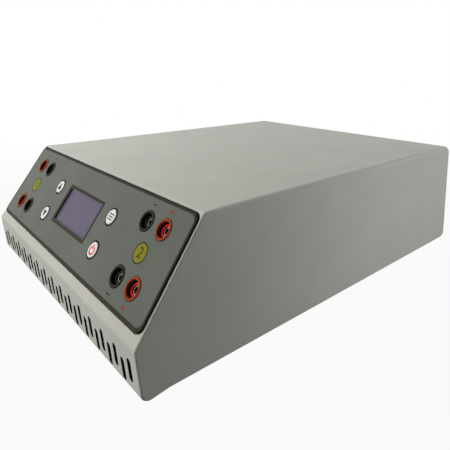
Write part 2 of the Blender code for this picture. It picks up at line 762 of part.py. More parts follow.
# Mains inlet: flange, body, mouth with three pins, and the drawer slot below
flange_low = GAP
flange_high = GAP + INLET_FLANGE
work = bmesh.new()
add_prism(work, rounded_rect(INLET_WIDTH, INLET_HEIGHT, INLET_CORNER), flange_low, flange_high, INLET)
inlet = solid(work, "inlet", BLACK, 0.5)
work = bmesh.new()
outline = rounded_rect(inlet_cut_width - 2.0 * GAP, inlet_cut_height - 2.0 * GAP, PUNCH_CORNER)
add_prism(work, outline, -INLET_DEEP, 0.5 * (flange_low + flange_high), INLET)
boolean(inlet, tool_from(work, "inlet_body_tool"), "UNION")
half_w = 0.5 * MOUTH_WIDTH
half_h = 0.5 * MOUTH_HEIGHT
mouth = [
    (-half_w, -half_h),
    (half_w, -half_h),
    (half_w, half_h - MOUTH_CHAMFER),
    (half_w - MOUTH_CHAMFER, half_h),
    (MOUTH_CHAMFER - half_w, half_h),
    (-half_w, half_h - MOUTH_CHAMFER),
]
mouth_floor = flange_high - MOUTH_DEEP
work = bmesh.new()
add_prism(work, mouth, mouth_floor, flange_high + CUT_OVER, at(INLET, 0.0, MOUTH_UP))
boolean(inlet, tool_from(work, "mouth_tool"))
work = bmesh.new()
slot_size = (DRAWER_WIDTH + 2.0 * GAP, DRAWER_HEIGHT + 2.0 * GAP, DRAWER_DEEP + GAP + CUT_OVER)
slot_middle = flange_high + CUT_OVER - 0.5 * slot_size[2]
add_box(work, slot_size, (0.0, -DRAWER_DOWN, slot_middle), INLET)
boolean(inlet, tool_from(work, "drawer_slot_tool"))
work = bmesh.new()
pin_long = MOUTH_DEEP - PIN_SHORT + CUT_OVER
pin_middle = mouth_floor - CUT_OVER + 0.5 * pin_long
for x, up in ((-PIN_PITCH, PIN_SHIFT), (PIN_PITCH, PIN_SHIFT), (0.0, -PIN_SHIFT)):
    add_box(work, (PIN_WIDE, PIN_TALL, pin_long), (x, MOUTH_UP - up, pin_middle), INLET)
boolean(inlet, tool_from(work, "pins_tool"), "UNION")

drawer_place = at(INLET, 0.0, -DRAWER_DOWN, flange_high)
work = bmesh.new()
drawer_size = (DRAWER_WIDTH, DRAWER_HEIGHT, DRAWER_DEEP + 0.5 * DRAWER_FACE)
add_box(work, drawer_size, (0.0, 0.0, 0.5 * DRAWER_FACE - 0.5 * drawer_size[2] + GAP), drawer_place)
drawer = solid(work, "fuse_drawer", BLACK, 0.4, 0.0, drawer_place.translation)
work = bmesh.new()
face_size = (DRAWER_WIDTH + 2.0 * DRAWER_LIP, DRAWER_HEIGHT + 2.0 * DRAWER_LIP, DRAWER_FACE)
add_box(work, face_size, (0.0, 0.0, GAP + 0.5 * DRAWER_FACE), drawer_place)
boolean(drawer, tool_from(work, "drawer_face_tool"), "UNION")

# Power switch: bezel with a pocket, and the rocker tilted to off
work = bmesh.new()
bezel_high = GAP + BEZEL_FLANGE
add_prism(work, rounded_rect(BEZEL_WIDTH, BEZEL_HEIGHT, BEZEL_LEDGE), GAP, bezel_high, SWITCH)
bezel = solid(work, "switch_bezel", BLACK, 0.4)
work = bmesh.new()
outline = rounded_rect(bezel_cut_width - 2.0 * GAP, bezel_cut_height - 2.0 * GAP, PUNCH_CORNER)
add_prism(work, outline, -BEZEL_DEEP, 0.5 * BEZEL_FLANGE, SWITCH)
boolean(bezel, tool_from(work, "bezel_body_tool"), "UNION")
work = bmesh.new()
pocket = (BEZEL_WIDTH - 2.0 * BEZEL_RIM, BEZEL_HEIGHT - 2.0 * BEZEL_RIM, ROCKER_POCKET + CUT_OVER)
add_box(work, pocket, (0.0, 0.0, bezel_high + CUT_OVER - 0.5 * pocket[2]), SWITCH)
boolean(bezel, tool_from(work, "rocker_pocket_tool"))

rocker_wide = pocket[0] - 2.0 * GAP
rocker_half = 0.5 * pocket[1] - ROCKER_END_GAP
rocker_place = at(SWITCH, 0.0, 0.0, bezel_high - ROCKER_BODY)
rocker_tip = ROCKER_BODY + ROCKER_PROUD
rocker_side = [
    (-rocker_half, 0.0),
    (0.0, -ROCKER_KEEL),
    (rocker_half, 0.0),
    (rocker_half - ROCKER_TAPER, rocker_tip),
    (0.0, rocker_tip - ROCKER_DIP),
    (ROCKER_TAPER - rocker_half, rocker_tip),
]
work = bmesh.new()
tilted = rocker_place @ Matrix.Rotation(math.radians(-ROCKER_TILT_DEG), 4, "X") @ SIDEWAYS
add_prism(work, rocker_side, -0.5 * rocker_wide, 0.5 * rocker_wide, tilted)
solid(work, "rocker", BLACK, 0.35, 0.0, rocker_place.translation)

# Fan: frame with struts, rotor with swept blades, wire guard outside
fan_back = -REAR_THICK - GAP
work = bmesh.new()
add_prism(work, rounded_rect(FAN_SIZE, FAN_SIZE, FAN_CORNER), fan_back - FAN_DEEP, fan_back, FAN)
fan_frame = solid(work, "fan_frame", BLACK, 0.6)
work = bmesh.new()
bore_run = (fan_back - FAN_DEEP - CUT_OVER, fan_back + CUT_OVER)
add_prism(work, circle(FAN_BORE, FAN_SEGMENTS), *bore_run, FAN)
boolean(fan_frame, tool_from(work, "fan_bore_tool"))
work = bmesh.new()
strut_middle = fan_back - 0.5 * HUB_BACK
strut_long = FAN_BORE + 0.5 * FAN_SIZE
add_box(work, (strut_long, STRUT_WIDE, HUB_BACK - GAP), (0.0, 0.0, strut_middle), FAN)
boolean(fan_frame, tool_from(work, "strut_tool"), "UNION")
work = bmesh.new()
add_box(work, (STRUT_WIDE, strut_long, HUB_BACK - 2.0 * GAP), (0.0, 0.0, strut_middle), FAN)
boolean(fan_frame, tool_from(work, "upright_tool"), "UNION")
work = bmesh.new()
motor_half = 0.5 * HUB_BACK - 1.5 * GAP
motor_place = at(FAN, 0.0, 0.0, strut_middle)
add_prism(work, circle(HUB_RADIUS, FAN_SEGMENTS), -motor_half, motor_half, motor_place)
boolean(fan_frame, tool_from(work, "motor_tool"), "UNION")

hub_high = fan_back - HUB_BACK - GAP
hub_low = fan_back - FAN_DEEP + GAP
rotor_place = at(FAN, 0.0, 0.0, hub_high)
work = bmesh.new()
add_prism(work, circle(HUB_RADIUS, FAN_SEGMENTS), hub_low, hub_high, FAN)
rotor = solid(work, "fan_rotor", BLACK, 0.5, 0.0, rotor_place.translation)
blade_reach = FAN_BORE - FAN_TIP_GAP
blade_wide = BLADE_FILL * (hub_high - hub_low) / math.sin(math.radians(BLADE_PITCH_DEG))
blade_size = (blade_reach - BLADE_ROOT, blade_wide, BLADE_THICK)
blade_spot = (0.5 * (BLADE_ROOT + blade_reach), 0.0, 0.5 * (hub_low + hub_high))
tilt = Matrix.Rotation(math.radians(BLADE_PITCH_DEG), 4, "X")
work = bmesh.new()
for k in range(BLADE_COUNT):
    spin = Matrix.Rotation(2.0 * math.pi * k / BLADE_COUNT, 4, "Z")
    place = FAN @ spin @ Matrix.Translation(blade_spot) @ tilt
    add_box(work, blade_size, (0.0, 0.0, 0.0), place)
boolean(rotor, tool_from(work, "blades_tool"), "UNION")

half_wire = 0.5 * GUARD_WIRE
guard_long = FAN_HOLE_PITCH * math.sqrt(2.0)
work = bmesh.new()
place = at(FAN, 0.0, 0.0, GAP + half_wire)
across = place @ Matrix.Rotation(math.radians(45.0), 4, "Z")
add_box(work, (guard_long, GUARD_BAR, GUARD_BAR), (0.0, 0.0, 0.0), across)
guard = solid(work, "fan_guard", STEEL, 0.3, 1.0)
work = bmesh.new()
add_box(work, (GUARD_CROSS, guard_long, GUARD_CROSS), (0.0, 0.0, 0.0), across)
boolean(guard, tool_from(work, "guard_bar_tool"), "UNION")
work = bmesh.new()
for k in range(GUARD_RINGS):
    radius = (FAN_BORE - GUARD_WIRE) * (k + 1.0) / GUARD_RINGS
    section = circle(half_wire, GUARD_WIRE_SIDES)
    add_turned(work, [(radius + a, b) for a, b in section], FAN_SEGMENTS, place, True)
boolean(guard, tool_from(work, "guard_rings_tool"), "UNION")
work = bmesh.new()
for sx in (-1, 1):
    for sy in (-1, 1):
        spot = at(place, 0.5 * sx * FAN_HOLE_PITCH, 0.5 * sy * FAN_HOLE_PITCH)
        eye = circle(GUARD_EYE, BOSS_SEGMENTS)
        add_prism(work, eye, -0.5 * GUARD_EYE_THICK, 0.5 * GUARD_EYE_THICK, spot)
boolean(guard, tool_from(work, "guard_eyes_tool"), "UNION")

# Main board and the larger parts on it
main_low = base_top + POST_HEIGHT + GAP
main_top = main_low + BOARD_THICK
work = bmesh.new()
outline = rounded_rect(main_width, MAIN_DEPTH, BOARD_CORNER)
add_prism(work, outline, main_low, main_top, Matrix.Translation((0.0, main_y, 0.0)))
solid(work, "main_board", BOARD_GREEN, 0.5)

UPRIGHT = Matrix.Rotation(math.radians(90.0), 4, "X")
core_low = main_top + GAP
core_place = Matrix.Translation((CORE_IN - 0.5 * main_width, main_y, core_low + 0.5 * CORE_HEIGHT))
window_wide = 0.5 * (CORE_WIDTH - CORE_LEG) - CORE_YOKE
window_tall = CORE_HEIGHT - 2.0 * CORE_YOKE
window_x = 0.5 * (CORE_LEG + window_wide)
work = bmesh.new()
add_box(work, (CORE_WIDTH, CORE_STACK, CORE_HEIGHT), (0.0, 0.0, 0.0), core_place)
core = solid(work, "transformer_core", STEEL, 0.6, 0.5)
work = bmesh.new()
for side in (-1, 1):
    size = (window_wide, CORE_STACK + 2.0 * CUT_OVER, window_tall)
    add_box(work, size, (side * window_x, 0.0, 0.0), core_place)
boolean(core, tool_from(work, "core_window_tool"))
work = bmesh.new()
coil_wall = window_wide - 2.0 * GAP
coil_more = 2.0 * (GAP + coil_wall)
coil_outer = rounded_rect(CORE_LEG + coil_more, CORE_STACK + coil_more, WINDING_CORNER)
coil_half = 0.5 * window_tall - GAP
add_prism(work, coil_outer, -coil_half, coil_half, core_place)
coil = solid(work, "transformer_winding", TAPE_YELLOW, 0.5)
work = bmesh.new()
size = (CORE_LEG + 2.0 * GAP, CORE_STACK + 2.0 * GAP, window_tall + CUT_OVER)
add_box(work, size, (0.0, 0.0, 0.0), core_place)
boolean(coil, tool_from(work, "coil_bore_tool"))

work = bmesh.new()
fin_pitch = (SINK_HEIGHT - SINK_FIN) / (SINK_FINS - 1)
comb = [(0.0, 0.0)]
for k in range(SINK_FINS):
    low = k * fin_pitch
    comb += [(SINK_REACH, low), (SINK_REACH, low + SINK_FIN)]
    if k < SINK_FINS - 1:
        comb += [(SINK_BASE, low + SINK_FIN), (SINK_BASE, low + fin_pitch)]
comb.append((0.0, SINK_HEIGHT))
sink_place = Matrix.Translation((0.5 * main_width - SINK_IN, main_y, main_top + GAP)) @ UPRIGHT
add_prism(work, comb, -0.5 * SINK_LENGTH, 0.5 * SINK_LENGTH, sink_place)
solid(work, "heat_sink", STEEL, 0.4, 0.9)

for number in (1, 2):
    spot = (CAP_SIDE, main_y + (number - 1.5) * CAP_PITCH, main_top + GAP)
    profile = [
        (0.0, 0.0),
        (CAP_RADIUS, 0.0),
        (CAP_RADIUS, CAP_HEIGHT - CAP_ROUND),
        (CAP_RADIUS - CAP_ROUND, CAP_HEIGHT),
        (0.0, CAP_HEIGHT),
    ]
    work = bmesh.new()
    add_turned(work, profile, ROUND_SEGMENTS, Matrix.Translation(spot), False)
    solid(work, "capacitor_" + str(number), BLACK, 0.4)
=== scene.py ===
import json
import math

import bmesh
import bpy
from mathutils import Matrix, Vector

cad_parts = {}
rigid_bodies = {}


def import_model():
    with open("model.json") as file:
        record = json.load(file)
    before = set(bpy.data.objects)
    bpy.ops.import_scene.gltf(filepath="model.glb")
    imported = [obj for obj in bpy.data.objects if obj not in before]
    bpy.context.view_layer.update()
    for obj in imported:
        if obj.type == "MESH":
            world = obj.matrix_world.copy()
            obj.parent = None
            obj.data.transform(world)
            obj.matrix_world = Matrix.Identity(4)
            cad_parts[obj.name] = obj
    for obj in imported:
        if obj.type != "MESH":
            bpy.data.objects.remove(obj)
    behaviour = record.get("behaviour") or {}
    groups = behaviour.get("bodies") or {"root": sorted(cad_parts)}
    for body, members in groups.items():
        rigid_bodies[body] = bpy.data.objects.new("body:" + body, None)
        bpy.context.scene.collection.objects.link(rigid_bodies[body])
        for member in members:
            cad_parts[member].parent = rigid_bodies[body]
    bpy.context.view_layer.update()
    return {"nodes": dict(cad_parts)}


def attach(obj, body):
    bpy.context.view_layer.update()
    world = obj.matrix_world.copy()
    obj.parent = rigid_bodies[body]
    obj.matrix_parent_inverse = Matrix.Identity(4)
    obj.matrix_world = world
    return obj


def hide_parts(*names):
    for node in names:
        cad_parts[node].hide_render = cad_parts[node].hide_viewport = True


for item in list(bpy.data.objects):
    bpy.data.objects.remove(item, do_unlink=True)

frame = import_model()
cadNodes = frame["nodes"]
scene = bpy.context.scene
scene.view_settings.view_transform = "Standard"
print("frame loaded:", len(cadNodes), "nodes")


# colours and shader nodes
def hexColour(code):
    parts = [int(code[i:i + 2], 16) / 255.0 for i in (0, 2, 4)]
    return [c / 12.92 if c <= 0.04045 else ((c + 0.055) / 1.055) ** 2.4 for c in parts] + [1.0]


def addNode(tree, kind, settings=None, values=None, links=None):
    node = tree.nodes.new(kind)
    for key, value in (settings or {}).items():
        setattr(node, key, value)
    for key, value in (values or {}).items():
        node.inputs[key].default_value = value
    for key, source in (links or {}).items():  # a node stands for its first output
        tree.links.new(getattr(source, "outputs", (source,))[0], node.inputs[key])
    return node


def perMm(size):  # texture scale that gives one feature every so many millimetres
    return 1000.0 / size


# one finish: two close colours in soft patches, uneven gloss, and a fine relief
pattern = {"patchDetail": 3.0, "patchBreak": 0.55, "ramp": (0.3, 0.7), "grainDetail": 2.0, "reliefShare": 0.1}


def makeFinish(name, dark, light, patchMm, grainMm, rough, bump,
               specular=0.5, metallic=0.0, alpha=1.0, stretch=(1.0, 1.0, 1.0)):
    made = finish[name] = bpy.data.materials.new(name)
    made.use_nodes = True
    tree = made.node_tree
    shader = tree.nodes["Principled BSDF"]
    for key, value in (("Specular IOR Level", specular), ("Metallic", metallic), ("Alpha", alpha)):
        shader.inputs[key].default_value = value
    place = addNode(tree, "ShaderNodeTexCoord").outputs["Object"]
    turned = addNode(tree, "ShaderNodeMapping", values={"Scale": stretch}, links={"Vector": place})
    patches = addNode(tree, "ShaderNodeTexNoise", links={"Vector": turned},
                      values={"Scale": perMm(patchMm), "Detail": pattern["patchDetail"],
                              "Roughness": pattern["patchBreak"]})
    tones = addNode(tree, "ShaderNodeValToRGB", links={"Fac": patches})
    for stop, position, tone in zip(tones.color_ramp.elements, pattern["ramp"], (dark, light)):
        stop.position = position
        stop.color = hexColour(tone)
    grain = addNode(tree, "ShaderNodeTexNoise", links={"Vector": turned},
                    values={"Scale": perMm(grainMm), "Detail": pattern["grainDetail"]})
    gloss = addNode(tree, "ShaderNodeMapRange", values={"To Min": rough[0], "To Max": rough[1]},
                    links={"Value": grain})
    relief = addNode(tree, "ShaderNodeBump", links={"Height": grain},
                     values={"Strength": bump, "Distance": pattern["reliefShare"] * grainMm / 1000.0})
    for key, node in (("Base Color", tones), ("Roughness", gloss), ("Normal", relief)):
        tree.links.new(node.outputs[0], shader.inputs[key])


finish = {}
# spark-eroded mould leaves a dull, very fine grain; drawn at 0.7 mm so that it shows
makeFinish("abs_moulded_warm_grey", "b0b0a9", "b6b6af", 45, 0.7, (0.48, 0.60), 0.30, specular=0.3)
# nearly black, quite dull finish inside the case and on the vent slots' walls: painted shade
makeFinish("case_inside_painted_shade", "101010", "191918", 12, 0.8, (0.72, 0.85), 0.30, specular=0.2)
# matt polycarbonate film, printed on its back: an even grey-green with a soft sheen
makeFinish("polycarbonate_film_grey_green", "5a5e57", "60645d", 30, 0.5, (0.44, 0.54), 0.12, specular=0.15)
# satin key caps, a clean cold white
makeFinish("abs_key_white", "d6d6d2", "dededa", 5, 0.4, (0.40, 0.50), 0.08, specular=0.3)
# glass-filled nylon, brick red and a little dusty, with a highlight on its rims
makeFinish("nylon_moulded_brick_red", "843a22", "8e4228", 5, 0.35, (0.40, 0.52), 0.10, specular=0.06)
# unfilled nylon sleeve: cleaner, more saturated and glossier than the flange
makeFinish("nylon_turned_red", "b80c10", "c81418", 5, 0.35, (0.18, 0.28), 0.05)
# glass-filled nylon in black, faintly olive
makeFinish("nylon_moulded_black", "1e1f19", "26271f", 5, 0.35, (0.38, 0.50), 0.10, specular=0.10)
# phenolic resin from a polished mould: deep black, half glossy
makeFinish("phenolic_moulded_black", "131313", "1b1b1b", 8, 0.6, (0.36, 0.50), 0.20)
# nickel plate: a pale mirror, faintly hazy
makeFinish("nickel_plate_bright", "c9c4b8", "d8d3c8", 4, 0.3, (0.16, 0.26), 0.05, metallic=1.0)
# tin plate on the contacts: dull and pale, scatters most of its light
makeFinish("tin_plate_dull", "c8c5bd", "d6d3cb", 4, 0.3, (0.36, 0.48), 0.05, metallic=0.3)
# nearly black inside the contacts' bores: painted shade
makeFinish("tin_plate_painted_shade", "1c1a17", "26231f", 4, 0.3, (0.52, 0.64), 0.10, metallic=0.3)
# zinc plate on the screws, with faint lines along one way
makeFinish("steel_zinc_rolled", "9a9a98", "adadaa", 14, 0.8, (0.30, 0.46), 0.15,
           metallic=1.0, stretch=(1.0, 0.12, 1.0))
# powder coat: fine orange peel
makeFinish("steel_powder_coat_grey", "a6a59f", "adaca6", 25, 1.2, (0.42, 0.55), 0.35)
# the same coat in dark grey, on the bottom cover; its dark top inside the case also paints shade there, seen
# through the vents
makeFinish("steel_coat_dark_and_painted_shade", "3c3c3a", "434341", 25, 1.2, (0.50, 0.62), 0.35, specular=0.3)
# tinned steel bezel with a brown chromate
makeFinish("steel_chromate_brown", "655d4e", "726957", 10, 0.6, (0.45, 0.60), 0.15)
# solder mask over copper: darker and lighter green where tracks run below
makeFinish("laminate_board_green", "1d4a2c", "2a6339", 3.5, 0.8, (0.35, 0.50), 0.20)
# pressed rubber: black and quite dull, with a coarse skin
makeFinish("rubber_moulded_black", "191918", "222220", 6, 0.5, (0.72, 0.86), 0.35)
# stacked sheets under varnish: fine lines across the stack
makeFinish("silicon_steel_varnished", "4a4a48", "5c5b58", 8, 0.5, (0.40, 0.55), 0.40,
           metallic=0.6, stretch=(0.1, 1.0, 0.1))
# wound tape: amber, smooth along the turns, with lines between them
makeFinish("polyester_tape_yellow", "b58a1e", "c89b28", 9, 1.0, (0.25, 0.38), 0.30, stretch=(0.1, 0.1, 1.0))
# drawn metal: faint lines along the extrusion
makeFinish("aluminium_extruded", "a4a6a8", "b6b8ba", 12, 0.6, (0.28, 0.42), 0.20,
           metallic=1.0, stretch=(1.0, 0.06, 1.0))
# shrunk sleeve on a can: tight, blue-black and glossy
makeFinish("pvc_shrunk_black", "16181b", "1f2226", 9, 0.8, (0.28, 0.40), 0.10)
# backing plate of the overlay, black and dull with no sheen at its edges: where it shows at the top and sides
# it paints the shade beside the film
makeFinish("laminate_black_painted_shade", "0b0b0a", "121210", 12, 0.5, (0.62, 0.75), 0.10, specular=0.08)
# sawn edge of the overlay plate in the display opening: dusty brown
makeFinish("laminate_sawn_brown", "5a5446", "665f50", 6, 0.4, (0.60, 0.72), 0.20, specular=0.15)
# tinted acrylic filter with an anti-glare coat: a milky lilac that nearly hides the cell behind it, and so
# paints over the shade under the overlay's edge with an evenly lit display colour
makeFinish("acrylic_lilac_hiding_shade", "5a566c", "64596d", 40, 1.5, (0.30, 0.40), 0.02,
           specular=0.2, alpha=0.92)
# unlit display cell: lilac-grey, faintly bluer in places
makeFinish("display_cell_lilac", "5d596f", "675c70", 40, 0.6, (0.30, 0.40), 0.05, specular=0.2)
# screen-printed inks lie flat and dull, slightly uneven
for tint, dark, light, patchMm in (("dark_brown", "2a2720", "302d25", 6), ("black", "0e0e0e", "161615", 4),
                                   ("red", "8e2a1e", "982f22", 4), ("bright_red", "c0281c", "cc3022", 4),
                                   ("grey", "4c4d50", "56575a", 4), ("white", "d8d8d4", "e2e2de", 4),
                                   ("olive_yellow", "76741a", "7f7d1e", 5)):
    makeFinish("screen_ink_" + tint, dark, light, patchMm, 0.4, (0.50, 0.62), 0.10, specular=0.15)
print("finishes made:", len(finish))


# mesh helpers, and the number of straight sides that stand for a full circle
sides = {"wide": 96, "usual": 64, "small": 48, "screw": 32}


def addLoop(work, outline, height, matrix):
    return [work.verts.new(matrix @ Vector((a, b, height))) for a, b in outline]


def bridge(work, loops):  # faces between each loop and the next, where a loop may be a single point
    for first, second in zip(loops, loops[1:]):
        count = max(len(first), len(second))
        for i in range(count):
            j = (i + 1) % count
            ring = (first[i % len(first)], first[j % len(first)],
                    second[j % len(second)], second[i % len(second)])
            work.faces.new(list(dict.fromkeys(ring)))


def addPrism(work, outline, low, high, matrix):
    loops = [addLoop(work, outline, height, matrix) for height in (low, high)]
    work.faces.new(loops[0][::-1])
    work.faces.new(loops[1])
    bridge(work, loops)


def addRing(work, outer, inner, low, high, matrix):  # flat ring between two outlines of equal length
    corners = ((outer, low), (outer, high), (inner, high), (inner, low))
    loops = [addLoop(work, outline, height, matrix) for outline, height in corners]
    bridge(work, loops + loops[:1])


def addTurned(work, profile, segments, matrix, closedLoop):
    loops = [addLoop(work, circle(radius, segments if radius else 1), height, matrix)
             for radius, height in profile]
    bridge(work, loops + loops[:1] if closedLoop else loops)


def roundedRect(width, height, radius, steps=8, grow=0.0):  # grow adds a margin on every side
    points = []
    across, upright = 0.5 * (width + 2 * grow) - radius, 0.5 * (height + 2 * grow) - radius
    for start, (sx, sy) in enumerate(((1, 1), (-1, 1), (-1, -1), (1, -1))):
        points += rolled(sx * across, sy * upright, radius, start, steps=steps)
    return points


def circle(radius, segments=sides["usual"]):
    turns = [2.0 * math.pi * k / segments for k in range(segments)]
    return [(radius * math.cos(t), radius * math.sin(t)) for t in turns]


def quarter(steps, start=0, way=1):  # angles of a quarter turn, from a start in quarter turns
    return [0.5 * math.pi * (start + way * k / steps) for k in range(steps + 1)]


def rolled(radius, height, size, start, way=1, steps=6):  # quarter round of a rim about its centre
    return [(radius + size * math.cos(t), height + size * math.sin(t)) for t in quarter(steps, start, way)]


def smoothOver(mesh, degrees=35.0):
    mesh.shade_smooth()
    mesh.set_sharp_from_angle(angle=math.radians(degrees))


def keepResult(piece):  # the evaluated mesh takes the place of the modifiers
    graph = bpy.context.evaluated_depsgraph_get()
    mesh = bpy.data.meshes.new_from_object(piece.evaluated_get(graph))
    piece.modifiers.clear()
    piece.data = mesh


def flattenFaces(piece):  # large flat faces keep their own direction, and only the rounding shades softly
    change = piece.modifiers.new("flatten", "WEIGHTED_NORMAL")
    change.keep_sharp = True
    change.weight = 100
    keepResult(piece)


def makePiece(work, name, material):
    bmesh.ops.remove_doubles(work, verts=work.verts, dist=1e-7)
    bmesh.ops.recalc_face_normals(work, faces=work.faces)
    mesh = bpy.data.meshes.new(name)
    work.to_mesh(mesh)
    work.free()
    mesh.materials.append(material)
    smoothOver(mesh)
    piece = bpy.data.objects.new(name, mesh)
    scene.collection.objects.link(piece)
    return piece


def prismPiece(name, material, outline, low, high, matrix):
    work = bmesh.new()
    addPrism(work, outline, low, high, matrix)
    return makePiece(work, name, material)


def turnedPiece(name, material, profile, segments, matrix, closedLoop=False):
    work = bmesh.new()
    addTurned(work, profile, segments, matrix, closedLoop)
    return makePiece(work, name, material)


def bake(piece):
    keepResult(piece)
    smoothOver(piece.data)


def cutWith(piece, tool, operation="DIFFERENCE"):
    change = piece.modifiers.new("cut", "BOOLEAN")
    change.operation = operation
    change.solver = "EXACT"
    change.material_mode = "TRANSFER"
    change.object = tool
    bake(piece)
    bpy.data.objects.remove(tool, do_unlink=True)


def cutPrism(piece, material, outline, low, high, matrix, operation="DIFFERENCE"):
    cutWith(piece, prismPiece("tool", material, outline, low, high, matrix), operation)


def softenEdges(piece, width, segments=2, degrees=40.0):
    change = piece.modifiers.new("soften", "BEVEL")
    change.width = width
    change.segments = segments
    change.limit_method = "ANGLE"
    change.angle_limit = math.radians(degrees)
    bake(piece)


def settle(piece, body, slotName, *replaced):
    flattenFaces(piece)
    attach(piece, body)
    if replaced:
        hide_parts(*replaced)


# camera, from a fit of the panel's marks and the case's edges in the photograph
camera = {"spot": (0.31701, -0.26776, 0.17866), "azimuth": 48.90939, "elevation": 8.06516,
          "roll": 0.15763, "lens": 35.18686, "shift": (-0.03040, -0.22035), "sensor": 36.0, "clip": 0.01}
lens = bpy.data.cameras.new("camera")
lens.lens = camera["lens"]
lens.sensor_width = camera["sensor"]
lens.clip_start = camera["clip"]
lens.shift_x, lens.shift_y = camera["shift"]
az, el, roll = (math.radians(camera[k]) for k in ("azimuth", "elevation", "roll"))
back = Vector((math.sin(az) * math.cos(el), -math.cos(az) * math.cos(el), math.sin(el)))
across = Vector((0, 0, 1)).cross(back).normalized()
upward = back.cross(across)
columns = (across * math.cos(roll) + upward * math.sin(roll),
           upward * math.cos(roll) - across * math.sin(roll), back)
eye = bpy.data.objects.new("camera", lens)
eye.matrix_world = Matrix.Translation(camera["spot"]) @ Matrix(columns).transposed().to_4x4()
scene.collection.objects.link(eye)
scene.camera = eye

# studio: a large soft lamp at the front left, one above the left side, and small ones at the right, behind
# and low in front. Those that would glare on flat faces show in no gloss.
plain = (1.0, 1.0, 1.0)
studio = {"ambient": 0.020, "floorColour": "50504e", "floorRough": 0.9, "floorShare": 0.95,
          "fadeFrom": 0.35, "fadeTo": 0.75, "floorWide": 30.0, "floorRound": 6.0, "floorThick": 0.02,
          "aim": (0.0, 0.0, 0.05),
          "lamps": (("front", (-0.35, -1.00, 0.70), 0.7, 13.2, (1.0, 0.985, 0.955), False),
                    ("above", (-0.50, 0.00, 0.60), 0.5, 1.75, plain, True),
                    ("right", (0.34, 0.08, 0.07), 0.2, 0.25, plain, True),
                    ("behind", (0.35, 0.85, 0.25), 0.4, 5.3, plain, False),
                    ("fill", (0.10, -0.42, 0.12), 0.2, 0.10, plain, False))}


def seenDirectly(tree):  # 1 for the eye and for what gloss and glass show, 0 for light on the object
    rays = addNode(tree, "ShaderNodeLightPath").outputs
    shiny = addNode(tree, "ShaderNodeMath", {"operation": "MAXIMUM"},
                    links={0: rays["Is Camera Ray"], 1: rays["Is Glossy Ray"]})
    seen = addNode(tree, "ShaderNodeMath", {"operation": "MAXIMUM"},
                   links={0: shiny, 1: rays["Is Transmission Ray"]})
    return seen.outputs[0]


world = bpy.data.worlds.new("surroundings")
scene.world = world
world.use_nodes = True
tree = world.node_tree
level = addNode(tree, "ShaderNodeMapRange", values={"To Min": studio["ambient"], "To Max": 1.0},
                links={"Value": seenDirectly(tree)})
tree.links.new(level.outputs["Result"], tree.nodes["Background"].inputs["Strength"])
tree.nodes["Background"].inputs["Color"].default_value = (1.0, 1.0, 1.0, 1.0)

floorPaint = bpy.data.materials.new("floor_white_sweep")
floorPaint.use_nodes = True
tree = floorPaint.node_tree
shader = tree.nodes["Principled BSDF"]
shader.inputs["Base Color"].default_value = hexColour(studio["floorColour"])
shader.inputs["Roughness"].default_value = studio["floorRough"]
spot = addNode(tree, "ShaderNodeTexCoord")  # plain white away from the object, a soft shadow close to it
reach = addNode(tree, "ShaderNodeVectorMath", {"operation": "LENGTH"}, links={0: spot.outputs["Object"]})
fade = addNode(tree, "ShaderNodeMapRange", {"interpolation_type": "SMOOTHSTEP"},
               values={"From Min": studio["fadeFrom"], "From Max": studio["fadeTo"],
                       "To Min": studio["floorShare"], "To Max": 1.0},
               links={"Value": reach.outputs["Value"]})
share = addNode(tree, "ShaderNodeMath", {"operation": "MULTIPLY"}, links={0: seenDirectly(tree), 1: fade})
white = addNode(tree, "ShaderNodeEmission", values={"Strength": 1.0})
mixed = addNode(tree, "ShaderNodeMixShader", links={0: share, 1: shader, 2: white})
tree.links.new(mixed.outputs["Shader"], tree.nodes["Material Output"].inputs["Surface"])
floorOutline = roundedRect(studio["floorWide"], studio["floorWide"], studio["floorRound"])
floor = prismPiece("floor", floorPaint, floorOutline, -studio["floorThick"], 0.0, Matrix.Identity(4))

for name, spot, size, power, tint, glints in studio["lamps"]:
    lamp = bpy.data.lights.new(name, "AREA")
    lamp.shape = "SQUARE"
    lamp.size = size
    lamp.energy = power
    lamp.color = tint
    holder = bpy.data.objects.new(name, lamp)
    turn = (Vector(spot) - Vector(studio["aim"])).to_track_quat("Z", "Y")
    holder.matrix_world = Matrix.Translation(spot) @ turn.to_matrix().to_4x4()
    holder.visible_camera = False
    holder.visible_glossy = glints
    scene.collection.objects.link(holder)
print("camera and studio set")


# the case: the same side profile as the solid, with finer rounding
case = {"width": 0.262, "depth": 0.345, "height": 0.094, "footHeight": 0.004, "kneeHeight": 0.0313,
        "kneeReach": 0.0037, "panelRun": 0.0445, "wall": 0.0025, "panelWall": 0.0026, "floorWall": 0.004,
        "radii": (0.006, 0.0035, 0.003, 0.007, 0.007),
        "sideRadii": (0.0012, 0.0012, 0.0012, 0.0035, 0.0035), "blend": 0.012,
        "arcSteps": 10, "sideSteps": 6, "gap": 0.0003, "over": 0.002}
gap, over = case["gap"], case["over"]


def profileCorners(shift):
    low = case["footHeight"]
    kneeY = shift - case["kneeReach"]
    return [Vector((shift, low)), Vector((kneeY, low + case["kneeHeight"])),
            Vector((kneeY + case["panelRun"], low + case["height"])),
            Vector((shift + case["depth"], low + case["height"])), Vector((shift + case["depth"], low))]


def arcAt(corners, index, radius):  # centre of a corner's round, and the directions to its two ends
    corner = corners[index]
    before = (corners[index - 1] - corner).normalized()
    after = (corners[(index + 1) % len(corners)] - corner).normalized()
    half = 0.5 * before.angle(after)
    centre = corner + (before + after).normalized() * (radius / math.sin(half))
    first = corner + before * (radius / math.tan(half)) - centre
    last = corner + after * (radius / math.tan(half)) - centre
    return centre, first.normalized(), last.normalized()


kneeRadius = case["radii"][1]
frontReach = arcAt(profileCorners(0.0), 1, kneeRadius)[0].x - kneeRadius
corners = profileCorners(-0.5 * (frontReach + case["depth"]))


